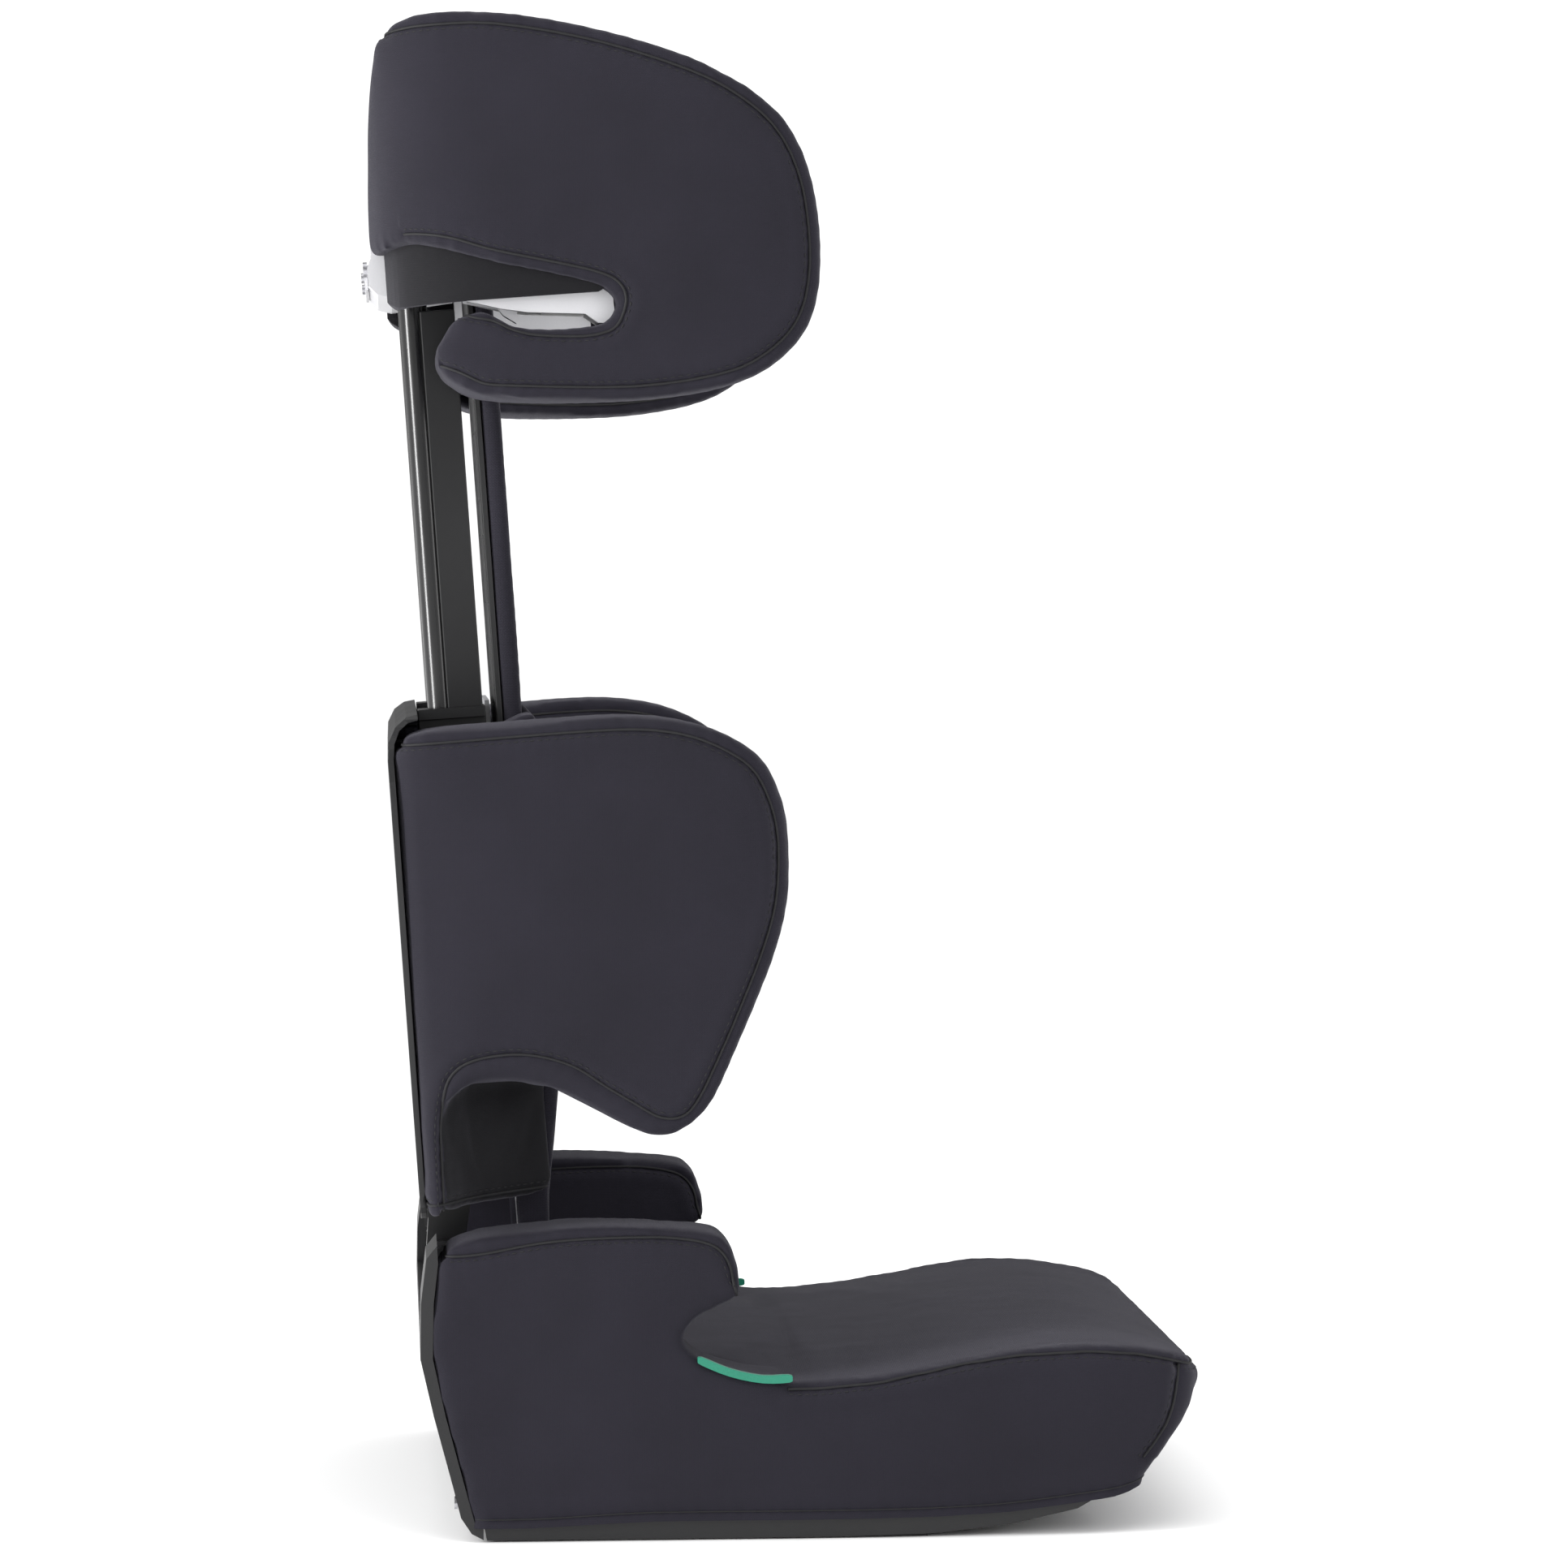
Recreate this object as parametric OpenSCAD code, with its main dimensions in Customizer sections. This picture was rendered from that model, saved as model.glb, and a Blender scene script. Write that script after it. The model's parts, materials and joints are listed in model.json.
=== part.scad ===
// High-back booster seat: a base with armrests, a hinged winged backrest, and a winged headrest that
// slides on two rails.  Front is -Y, up is +Z, and the width is symmetric about X = 0.

/* [Base] */
// Outer width of the base, over its fabric
base_w = 432; // [424:2:440]
// Width between the armrests
lap_w = 320; // [312:2:326]
// Height of the seat deck above the floor
deck_z = 68; // [64:1:70]
// Wall thickness of the plastic mouldings
wall = 3; // [2.5:0.1:3.5]

/* [Backrest] */
// Rearward lean of the backrest and rails, in degrees
lean = 4; // [0:0.5:6]
// Outer width over the side wings
back_w = 470; // [462:2:476]
// Height of the backrest's lower edge, upright
back_z0 = 186; // [186:1:190]
// Height of the backrest's top edge, upright
back_z1 = 453; // [450:1:455]

/* [Headrest] */
// Outer width over the headrest's wings
head_w = 424; // [416:2:432]
// Distance that the headrest can travel down
head_travel = 168; // [120:24:168]

/* [Rails] */
// Distance between the two rails
rail_pitch = 164; // [160:1:168]
// Radius of each rail tube
rail_r = 8; // [7.5:0.1:8]

/* [Fabric] */
// Thickness of the fabric covers
cloth = 3; // [2:0.1:3]
// Gap between a cover and what it covers
ease = 0.3; // [0.2:0.05:0.4]

/* [Hidden] */
$fn = 48;
hinge_y = 188;
hinge_z = 148;
rod_r = 5;
run = 0.08;
origin_shift = -1.69;
base_x = base_w / 2;
lap_x = lap_w / 2;
back_x = back_w / 2;
head_x = head_w / 2;
rail_x = rail_pitch / 2;
rail_y = 166.5;
rail_top = 728;
rail_foot_z = 394;
channel_top = 690;
channel_y0 = 143;
channel_y1 = 163;
channel_half = 9.6;
wire_x = 42;
wire_r = 2;
wire_z = 408;
pawl_z = 404;
notch_pitch = 24;
pad_y = [-60, 120];
trim_screw_x = [80, 196];
trim_screw_z = 20;
trim_cut_z = 114;
rib_z = 38;
side_front = 2;
cushion_rear = 150;
flap_x = 150;
flap_z = 118;
guide_screw_y = [84, 112];
guide_screw_z = 722;
board_screw_z = [710, 730];
board_top = 735;
hook_screw_z = [186.5, 193];
post_z = [214, 426];
post_x = 138;
plate_y0 = 138.6;
plate_y1 = 141.4;
shell_y0 = 196;
shell_y1 = 199.5;
cavity_x = 118;
hook_x = 100;
hook_half = 8;
bib_x = 98;
bib_front = 119.4;
board_y0 = 132;
board_y1 = 135.5;
shell_t = 3.5;
gate_y = 130;
gate_z = 699;
guide_x0 = 156;
guide_x1 = 197;
lobe_x = 99;
black = [0.05, 0.05, 0.055];
charcoal = [0.17, 0.17, 0.2];
pale_grey = [0.75, 0.75, 0.76];
foam_grey = [0.3, 0.3, 0.32];
green = [0.1, 0.65, 0.45];
steel = [0.6, 0.6, 0.62];

// Outline of the headrest from the side, upright: rear edge, crown, front, lower lobe, belt slot.
head_side = [
    [189, 721], [187, 765], [182, 812], [175, 840], [154, 849], [111, 847], [51, 833], [-8, 809],
    [-45, 780], [-60, 742], [-61, 694], [-48, 658], [-13, 635], [48, 629], [132, 636], [153, 649],
    [157, 661], [145, 679], [132, 683.5], [122, 680], [116, 675], [106, 672], [88, 670], [69, 670],
    [58, 673], [54, 684],
    [62, 693], [94, 703], [120, 710], [146, 719], [164, 723.5], [182, 722]
];
// Outline of the headrest from above: the outside of its U.
head_outer = [
    [0, 190], [110, 189], [165, 182], [198, 160], [210, 125], [212, 60], [211, 0], [204, -40],
    [190, -64], [0, -64], [-190, -64], [-204, -40], [-211, 0], [-212, 60], [-210, 125], [-198, 160],
    [-165, 182], [-110, 189]
];
// The space for the head inside that U.
head_inner = [
    [0, 134], [80, 132], [118, 122], [140, 96], [152, 50], [160, 0], [168, -45], [180, -70],
    [180, -90], [-180, -90], [-180, -70], [-168, -45], [-160, 0], [-152, 50], [-140, 96],
    [-118, 122], [-80, 132]
];
// Outline of a backrest wing from the side, upright.
wing_side = [
    [196, back_z0], [196, 420], [196, 436], [193, 446], [184, 452], [165, 453], [121, 453], [86, 454], [52, 452],
    [20, 443], [-6, 426], [-17, 402], [-20, 378], [-16, 344], [-6, 315], [13, 277], [32, 241],
    [45, 227], [62, 220], [78, 225], [101, 240], [120, 251], [142, 257], [165, 257], [178, 250],
    [184, 236], [186, 212], [186, back_z0]
];
// Plan of the right-hand (+X) wing from above.
wing_plan = [
    [162, 195.5], [208, 195.5], [224, 193], [232, 182], [235, 164], [235, 45], [231, 5], [222, -14],
    [209, -20], [198, -14], [190, 14], [183, 60], [176, 104], [167, 122], [162, 138]
];
// Plan of the side of the backrest below the wing, which hollows in towards the lap.
flank_plan = [
    [162, 185.8], [224, 185.8], [212, 180], [196, 168], [182, 150], [172, 132], [166, 124], [162, 122]
];
// Front surface of the backrest's middle, from the top down, upright.
pad_front = [
    [115.5, 458], [113, 446], [111, 400], [110, 340], [112, 290], [116, 250], [121.5, 215], [126, back_z0]
];
// Side outline of the cushion, over its fabric.
cushion_side = [
    [cushion_rear, 9], [cushion_rear, 96], [80, 93], [22, 90], [-15, 90], [-42, 92], [-74, 98],
    [-106, 105], [-128, 108.5], [-151, 110.5], [-174, 110], [-196, 107.5], [-214, 106.5], [-226, 104],
    [-231, 96], [-231, 84], [-225, 70], [-214, 52], [-203, 36], [-187, 29], [-167, 25], [-127, 17],
    [-86, 13.6], [72, 13], [107, 11]
];
// Side outline of an armrest and the side panel under it, over its fabric.
armrest_side = [
    [side_front, 13], [107, 11], [141, 8.4], [171, 8], [177, 30], [188, 71], [195, 103], [194.6, 134],
    [192, 156], [186, 165], [167, 171], [141, 174], [107, 176], [72, 175], [48, 173.5], [36, 171],
    [28, 162], [24.5, 148], [25, 137], [39, 129.5], [49, 125], [55, 118], [55.5, 109], [46, 101.5],
    [30, 95.5], [12, 91], [side_front, 89.5]
];
// Plan of the base: its sides, the rounded front corners and the straight front.
base_plan = [
    [0, -240], [140, -240], [150, -231], [174, -226], [194, -212], [205, -188], [211, -140], [215, -60],
    [base_x, 0], [base_x, 230], [-base_x, 230], [-base_x, 0], [-215, -60], [-211, -140], [-205, -188],
    [-194, -212], [-174, -226], [-150, -231], [-140, -240]
];
// Outline of the plastic band that closes the rear of the base.
trim_side = [
    [167.4, 1.5], [174, 5], [180, 14], [184, 30], [195, 71], [202.4, 103], [202, 134], [199, 159],
    [193, 166.5], [192.4, 156.2], [194.9, 134], [195.4, 103], [188.4, 71], [177.4, 30], [171.4, 7.9],
    [167.4, 7.8]
];
// Side outline of the base moulding under the fabric.
shell_side = [
    [165.5, 1], [120, 1], [-38, 1], [-86, 2], [-127, 6], [-167, 14], [-187, 25], [-196, 33],
    [-203, 45], [-212, 60], [-209, deck_z - 2], [-200, deck_z], [181.5, deck_z], [172.5, 30], [167, 9]
];
// Height of the cushion across its width, over its fabric.
cushion_front = [
    [-base_x, 0], [base_x, 0], [base_x, 99], [212, 105], [203, 109], [180, 111], [-180, 111],
    [-203, 109], [-212, 105], [-base_x, 99]
];

// A closed curve through the given points, with n steps for each stretch.
function curve(p, n = 2) = [
    for (i = [0 : len(p) - 1])
        let (a = p[(i + len(p) - 1) % len(p)], b = p[i], c = p[(i + 1) % len(p)], d = p[(i + 2) % len(p)])
            for (k = [0 : n - 1])
                let (t = k / n)
                    0.5 * (2 * b + (c - a) * t + (2 * a - 5 * b + 4 * c - d) * t * t
                        + (3 * b - a - 3 * c + d) * t * t * t)
];

// A side outline (Y, Z) given thickness from x0 to x1.
module slab(x0, x1) {
    translate([x0, 0, 0]) rotate([90, 0, 90]) linear_extrude(x1 - x0) children();
}

// A front outline (X, Z) given depth from y0 to y1.
module sheet_y(y0, y1) {
    translate([0, y1, 0]) rotate([90, 0, 0]) linear_extrude(y1 - y0) children();
}

// A plan outline (X, Y) given height from z0 to z1.
module column(z0, z1) {
    translate([0, 0, z0]) linear_extrude(z1 - z0) children();
}

// A box from one corner to the other.
module box(a, b) {
    translate(a) cube(b - a);
}

// A box and its mirror image on the other side.
module boxes(a, b) {
    both() box(a, b);
}

module both() {
    children();
    mirror([1, 0, 0]) children();
}

// +X is the sitter's left.
module left_side() {
    children();
}

module right_side() {
    mirror([1, 0, 0]) children();
}

// Leans what is drawn upright back about the hinge rod.
module leaned() {
    translate([0, hinge_y + origin_shift, hinge_z]) rotate([-lean, 0, 0])
        translate([0, -hinge_y, -hinge_z]) children();
}

module placed() {
    translate([0, origin_shift, 0]) children();
}

// A cylinder along X from x0 to x1.
module bar_x(x0, x1, y, z, r) {
    translate([x0, y, z]) rotate([0, 90, 0]) cylinder(h = x1 - x0, r = r);
}

// A cylinder along Y from y0 to y1.
module bar_y(x, y0, y1, z, r) {
    translate([x, y1, z]) rotate([90, 0, 0]) cylinder(h = y1 - y0, r = r);
}

// A pan-head screw along Y whose head stands at y and faces the rear.
module screw_y(x, y, z, head = 3.6, shank = 1.6, length = 9) {
    difference() {
        bar_y(x, y, y + 1.8, z, head);
        translate([x - 0.5, y + 0.9, z - 2]) cube([1, 2, 4]);
        translate([x - 2, y + 0.9, z - 0.5]) cube([4, 2, 1]);
    }
    bar_y(x, y - length, y, z, shank);
}

// ---------------------------------------------------------------- base

module cushion_form(inset = 0) {
    intersection() {
        slab(-base_x + inset, base_x - inset) offset(delta = -inset) polygon(cushion_side);
        sheet_y(-260, 260) offset(delta = -inset) polygon(cushion_front);
        column(-1, 200) offset(delta = -inset) polygon(base_plan);
    }
}

module armrest_form(inset = 0) {
    both() slab(lap_x + inset, base_x - inset) offset(delta = -inset) polygon(armrest_side);
}

module base_lug(x) {
    difference() {
        slab(x - 4, x + 4) union() {
            polygon([[150, deck_z - 1], [184, deck_z - 1], [197, 140], [188, 148], [178, 140],
                [164, deck_z + 8]]);
            translate([hinge_y, hinge_z]) circle(r = 10);
        }
        bar_x(x - 9, x + 9, hinge_y, hinge_z, rod_r + 0.05);
    }
}

// The inverted tub that everything on the base fastens to, with ribs under the deck and hinge lugs.
module base_shell() {
    color(black) placed() {
        difference() {
            intersection() {
                slab(-base_x + 4, base_x - 4) polygon(shell_side);
                column(0, 200) offset(delta = -4) polygon(base_plan);
            }
            intersection() {
                slab(-base_x + 4 + wall, base_x - 4 - wall) union() {
                    offset(delta = -wall) polygon(shell_side);
                    polygon([[-120, -5], [160, -5], [160, 12], [-120, 12]]);
                }
                column(-9, 200) offset(delta = -4 - wall) polygon(base_plan);
            }
            both() for (y = [70, 160]) translate([188, y, deck_z - 10]) cylinder(h = 20, r = 2.6);
            both() for (x = trim_screw_x) bar_y(x, 150, 190, trim_screw_z, 1.7);
        }
        for (x = [-140, -70, 0, 70, 140])
            slab(x - 1.25, x + 1.25) polygon([[-186, deck_z - wall + 0.1], [176, deck_z - wall + 0.1],
                [170, rib_z], [-176, rib_z]]);
        for (y = [-120, -20, 80])
            box([-204, y - 1.25, rib_z], [204, y + 1.25, deck_z - wall + 0.1]);
        both() for (x = [hook_x - 14, hook_x + 14]) base_lug(x);
        both() for (y = pad_y) {
            box([base_x - 36, y - 24, 6], [base_x - 6.9, y + 24, 9]);
            box([base_x - 30.9, y - 18.9, 4], [base_x - 13.1, y + 18.9, 6.1]);
        }
    }
}

// Rear band with its cut-out for the backrest's hooks.
module rear_trim() {
    color(black) placed() difference() {
        slab(-base_x + 3, base_x - 3) polygon(trim_side);
        box([-lap_x + 8, 150, trim_cut_z], [lap_x - 8, 230, 200]);
        both() for (x = trim_screw_x) {
            bar_y(x, 150, 210, trim_screw_z, 1.7);
            bar_y(x, 181.5, 190, trim_screw_z, 3.9);
        }
    }
}

module trim_screws() {
    color(steel) placed() both() for (x = trim_screw_x) screw_y(x, 181.6, trim_screw_z, length = 14);
}

module armrest_core() {
    difference() {
        intersection() {
            slab(lap_x + cloth + ease, base_x - cloth - ease)
                offset(delta = -cloth - ease) polygon(armrest_side);
            box([0, 0, deck_z + 0.1], [300, 300, 300]);
        }
        intersection() {
            slab(lap_x + cloth + ease + wall, base_x - cloth - ease - wall)
                offset(delta = -cloth - ease - wall) polygon(armrest_side);
            box([0, 0, deck_z + wall + 1], [300, 300, 300]);
        }
        for (y = [70, 160]) translate([188, y, deck_z - 1]) cylinder(h = 10, r = 2.6);
    }
}

module armrest_core_left() {
    color(black) placed() left_side() armrest_core();
}

module armrest_core_right() {
    color(black) placed() right_side() armrest_core();
}

// Bolts that hold the armrest cores down on the deck.
module armrest_bolts() {
    color(steel) placed() both() for (y = [70, 160]) translate([188, y, 0]) {
        translate([0, 0, deck_z - 10]) cylinder(h = 18, r = 2.5);
        translate([0, 0, deck_z - wall - 3.1]) cylinder(h = 3, r = 5, $fn = 6);
        translate([0, 0, deck_z + wall + 1.1]) cylinder(h = 3.5, r = 4.5, $fn = 6);
    }
}

module seat_foam() {
    color(foam_grey) placed() difference() {
        cushion_form(cloth + ease);
        box([-300, -300, -1], [300, 300, deck_z + 0.3]);
        boxes([lap_x - ease, side_front, 0], [300, 300, 300]);
        box([-300, cushion_rear - 5, 0], [300, 300, 300]);
        slab(-300, 300) offset(delta = 0.3) polygon(shell_side);
    }
}

// One fitted cover over the cushion, the side panels and the armrests.
module seat_cover() {
    color(charcoal) placed() difference() {
        union() {
            cushion_form();
            armrest_form();
        }
        cushion_form(cloth);
        armrest_form(cloth);
        intersection() {
            slab(-base_x + cloth, base_x - cloth) polygon([[-190, -5], [170.9, -5], [170.9, 20], [-190, 38]]);
            column(-9, 200) offset(delta = -cloth) polygon(base_plan);
        }
        intersection() {
            slab(-base_x + 3.7, base_x - 3.7) offset(delta = 0.15) polygon(shell_side);
            column(-9, 200) offset(delta = -3.7) polygon(base_plan);
        }
        box([-lap_x - 0.1, cushion_rear - 3.2, -5], [lap_x + 0.1, 220, 127]);
        both() slab(lap_x + cloth, base_x - cloth) polygon([[170, 9.5], [220, 9.5], [220, 160], [186, 160]]);
        both() slab(base_x - 2.2, base_x + 4) offset(delta = 0.3) lap_guide_outline();
        both() for (x = trim_screw_x) bar_y(x, 150, 190, trim_screw_z, 2);
    }
}

// The bar that the lap belt is laid over, below the front of the armrest.
module lap_guide_outline() {
    polygon(curve([
        [46, 103.6], [30, 97], [12, 93], [-3, 93.2], [-5, 91], [-3, 88.8], [12, 88.6], [30, 92.4],
        [46, 99], [48, 101.4]
    ], 3));
}

module lap_belt_guide() {
    slab(base_x - 1.9, base_x + 2.4) lap_guide_outline();
}

module lap_belt_guide_left() {
    color(green) placed() left_side() lap_belt_guide();
}

module lap_belt_guide_right() {
    color(green) placed() right_side() lap_belt_guide();
}

module hinge_rod() {
    color(steel) placed() bar_x(-hook_x - 22, hook_x + 22, hinge_y, hinge_z, rod_r);
}

module hinge_rod_caps() {
    color(black) placed() both() difference() {
        bar_x(hook_x + 18.4, hook_x + 24.4, hinge_y, hinge_z, 7.5);
        bar_x(hook_x + 17, hook_x + 22.1, hinge_y, hinge_z, rod_r + 0.05);
    }
}

// Soft feet let into the rim.
module grip_pads() {
    color(foam_grey) placed() both() for (y = pad_y) difference() {
        box([base_x - 34, y - 22, 0], [base_x - 10, y + 22, 6]);
        box([base_x - 31, y - 19, 3], [base_x - 13, y + 19, 7]);
    }
}

// Small hooks inside the rim that catch the cover's elastic.
module cover_hooks() {
    color(black) placed() both() for (y = [12, 60]) translate([base_x - 7.1, y, 24]) difference() {
        translate([-9, -6, 0]) cube([9, 12, 14]);
        translate([-6.5, -7, 3]) cube([4, 14, 12]);
    }
}

// ---------------------------------------------------------------- backrest

// Outline of the rear shell from behind.
back_outline = [
    [0, 178], [150, 178], [196, 182], [210, 196], [216, 250], [222, 330], [224, 400], [221, 436],
    [206, 456], [150, 463], [0, 463], [-150, 463], [-206, 456], [-221, 436], [-224, 400],
    [-222, 330], [-216, 250], [-210, 196], [-196, 182], [-150, 178]
];

// Rear wall whose top edge rolls forward over the rail pocket.
module back_wall() {
    intersection() {
        sheet_y(150, 210) polygon(curve(back_outline, 3));
        slab(-230, 230) polygon([
            [shell_y1, 170], [shell_y1, 438], [198.4, 448], [194, 456], [187.5, 460.6], [181, 461.6],
            [181, 458.8], [186.5, 457.8], [191.8, 454], [195, 447], [shell_y0, 438], [shell_y0, 170]
        ]);
    }
}

module back_shell() {
    color(black) leaned() {
        difference() {
            union() {
                back_wall();
                both() box([cavity_x, plate_y1 + 0.2, 198], [cavity_x + wall, shell_y0 + 0.1, 438]);
                box([-cavity_x - wall, plate_y1 + 0.2, 198], [cavity_x + wall, shell_y0 + 0.1, 201]);
                both() box([cavity_x + wall - 0.1, plate_y1 + 0.2, 320], [158, shell_y0 + 0.1, 323]);
                both() box([158, plate_y1 + 0.2, 198], [161, shell_y0 + 0.1, 438]);
                both() box([hook_x - 18, 178, 186], [hook_x - 8.4, shell_y0 + 0.1, 198.1]);
                both() box([hook_x + 8.4, 178, 186], [hook_x + 18, shell_y0 + 0.1, 198.1]);
            }
            for (z = [258 : 12 : 306]) sheet_y(190, 205) hull() both() translate([60, z]) circle(r = 2.2);
            both() for (z = post_z) {
                bar_y(post_x, 190, 205, z, 1.7);
                bar_y(post_x, shell_y1 - 1.9, 205, z, 3.9);
            }
            both() for (z = hook_screw_z) {
                bar_y(hook_x, 190, 205, z, 1.7);
                bar_y(hook_x, shell_y1 - 1.9, 205, z, 3.05);
            }
        }
        both() for (z = post_z) difference() {
            bar_y(post_x, plate_y1 + 0.2, shell_y0 + 0.1, z, 4.5);
            bar_y(post_x, plate_y1, shell_y1 + 1, z, 1.7);
        }
    }
}

module back_front_plate() {
    color(pale_grey) leaned() difference() {
        union() {
            box([-158, plate_y0, 190], [158, plate_y1, 450]);
            box([4 - flap_x, plate_y0, flap_z + 4], [flap_x - 4, plate_y1, 190.1]);
            box([-62, plate_y0, 449], [62, plate_y1, 464]);
        }
        for (x = [-60, 0, 60]) box([x - 20, 130, 220], [x + 20, 150, 300]);
    }
}

// Section of a rail and its channel, seen along the rail, with a clearance.
module rail_section(gap = 0) {
    translate([rail_x, rail_y]) circle(r = rail_r + gap);
    translate([rail_x - channel_half - gap, channel_y0 - gap])
        square([2 * channel_half + 2 * gap, channel_y1 - channel_y0 + 2 * gap]);
}

module rail_guide() {
    difference() {
        union() {
            column(430, 459) translate([rail_x - 16, plate_y1 + 0.3]) square([32, 38.8]);
            column(456, 462) translate([rail_x - 19, plate_y1 + 0.3]) square([38, 38.8]);
        }
        column(420, 470) rail_section(0.35);
    }
}

module rail_guide_left() {
    color(black) leaned() left_side() rail_guide();
}

module rail_guide_right() {
    color(black) leaned() right_side() rail_guide();
}

// Toothed strip on the inside of the rear wall, one tooth for each headrest height.
module height_rack() {
    color(black) leaned() difference() {
        box([-16, 190, pawl_z - head_travel - 10], [16, shell_y0 - 0.1, pawl_z + 28]);
        for (z = [pawl_z - head_travel : notch_pitch : pawl_z])
            box([-12.5, 188, z - 0.5], [12.5, 194, z + 12.5]);
    }
}

module back_screws() {
    color(steel) leaned() both() for (z = post_z) screw_y(post_x, shell_y1 - 1.85, z, length = 30);
}

module wing_form(inset = 0) {
    intersection() {
        slab(100, back_x) offset(delta = -inset) polygon(curve(wing_side, 2));
        column(back_z0 + inset, back_z1 + 20) offset(delta = -inset) polygon(wing_plan);
    }
}

module flank_form(inset = 0) {
    column(back_z0 + inset, 262 - inset) offset(delta = -inset) polygon(flank_plan);
}

module wing_foam() {
    wing_form(cloth + ease);
    translate([0, -0.05, 0]) difference() {
        flank_form(cloth + ease);
        wing_form(cloth + ease);
    }
}

module wing_cover() {
    difference() {
        union() {
            wing_form();
            flank_form();
        }
        wing_form(cloth);
        flank_form(cloth);
        box([166, 180, back_z0 + cloth + 3], [221, 193, 262]);
        box([166, 190, back_z0 + cloth + 3], [219, 200, back_z1 - 12]);
    }
}

module wing_foam_left() {
    color(foam_grey) leaned() left_side() wing_foam();
}

module wing_foam_right() {
    color(foam_grey) leaned() right_side() wing_foam();
}

module wing_cover_left() {
    color(charcoal) leaned() left_side() wing_cover();
}

module wing_cover_right() {
    color(charcoal) leaned() right_side() wing_cover();
}

// Padded panel over the middle of the backrest, with the sleeve that the headrest's bib drops into.
module back_pad() {
    color(charcoal) leaned() difference() {
        union() {
            slab(-161.7, 161.7)
                polygon(concat(pad_front, [[plate_y0 - 0.3, back_z0], [plate_y0 - 0.3, 450], [124, 456]]));
            slab(-flap_x, flap_x) polygon([[126, back_z0 + 0.1], [129, 150], [130.5, flap_z + 6],
                [134, flap_z], [plate_y0 - 0.3, flap_z], [plate_y0 - 0.3, back_z0 + 0.1]]);
        }
        box([-bib_x - 4, bib_front - 0.6, 254], [bib_x + 4, 150, 500]);
    }
}

module hinge_hook() {
    difference() {
        slab(hook_x - hook_half, hook_x + hook_half) union() {
            translate([hinge_y, hinge_z]) circle(r = 10.5);
            polygon([[hinge_y - 10.5, hinge_z], [hinge_y + 10.5, hinge_z], [195.6, 170], [195.6, 197.6],
                [170, 197.6], [170, 180]]);
        }
        bar_x(hook_x - 20, hook_x + 20, hinge_y, hinge_z, rod_r + run);
        for (z = hook_screw_z) bar_y(hook_x, 180, 205, z, 1.7);
    }
}

module hinge_hook_left() {
    color(black) leaned() left_side() hinge_hook();
}

module hinge_hook_right() {
    color(black) leaned() right_side() hinge_hook();
}

module hook_screws() {
    color(steel) leaned() both() for (z = hook_screw_z)
        screw_y(hook_x, shell_y1 - 1.85, z, head = 2.8, length = 12);
}

// ---------------------------------------------------------------- headrest

module head_plan(outer = 0, inner = 0) {
    difference() {
        offset(delta = -outer) polygon(head_outer);
        offset(delta = inner) polygon(head_inner);
    }
}

// What the cover and foam leave free: the bracket, the finger pocket, the board and the lobe arms.
module head_recess(gap = 0) {
    slab(-104 - gap, 104 + gap) offset(delta = gap) polygon(bracket_side);
    box([-104 - gap, 130, 685], [104 + gap, 200, 700]);
    box([-52 - gap, 156 - gap, 735], [52 + gap, 200, 804 + gap]);
    box([-bib_x - 1, 117, 690], [bib_x + 1, 142, board_top + 1 + gap]);
    box([-lobe_x, 100, 600], [lobe_x, 200, 691]);
    both() box([lobe_x - 1, 137 - gap, 643 - gap], [127 + gap, 142 + gap, 672 + gap]);
}

// Side outline of the bracket that holds the rails at the foot of the headrest.
bracket_side = [
    [141, 702], [160, 700.5], [178, 698], [186, 700.5], [191, 706], [191, 716], [188.4, 722],
    [188.4, 741.5], [141, 741.5]
];

module head_form(outer, inner, inset) {
    intersection() {
        slab(-head_x, head_x) offset(delta = -inset) polygon(curve(head_side, 2));
        column(600, 880) head_plan(outer, inner);
    }
}

// Moulded rear shell of the headrest with the bracket that takes the rails.
module headrest_shell() {
    color(pale_grey) leaned() difference() {
        union() {
            difference() {
                head_form(cloth + ease, cloth + ease, cloth + ease);
                column(590, 890) offset(delta = -cloth - ease - shell_t) polygon(head_outer);
                box([-52, 150, 742], [52, 200, 804]);
                box([-104.5, 130, 680], [104.5, 200, 740]);
            }
            slab(-104, 104) polygon(bracket_side);
            both() box([48, 158, 741.4], [52, 183.5, 803.8]);
            box([-52, 158, 741.4], [52, 160.5, 803.8]);
            box([-52, 158, 801.2], [52, 183.5, 803.8]);
            both() box([lobe_x + cloth + 1, 142, 648], [199, 145.5, 668]);
            both() for (z = board_screw_z) bar_y(60, board_y1 + 0.05, 141.1, z, 5);
        }
        box([-64, 147, 708], [64, 187, 736]);
        both() column(690, rail_top + 0.5) translate([rail_x, rail_y]) circle(r = rail_r + 0.1);
        both() column(690, 790) translate([wire_x, rail_y]) circle(r = wire_r + 0.5);
        both() for (z = board_screw_z) bar_y(60, 130, 147, z, 1.7);
        both() bar_y(rail_x, 130, 200, 716, 2.6);
        both() bar_y(70, 180, 192, 712, 1.4);
        both() bar_y(114, 140, 150, 658, 1.7);
        both() for (y = guide_screw_y) bar_x(180, 220, y, guide_screw_z, 1.7);
    }
}

// Plate that closes the spring chamber of the bracket from behind.
module bracket_cover() {
    color(pale_grey) leaned() difference() {
        box([-76.5, 191.2, 704.5], [76.5, 193, 719]);
        both() bar_y(70, 180, 200, 712, 1.7);
    }
}

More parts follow.
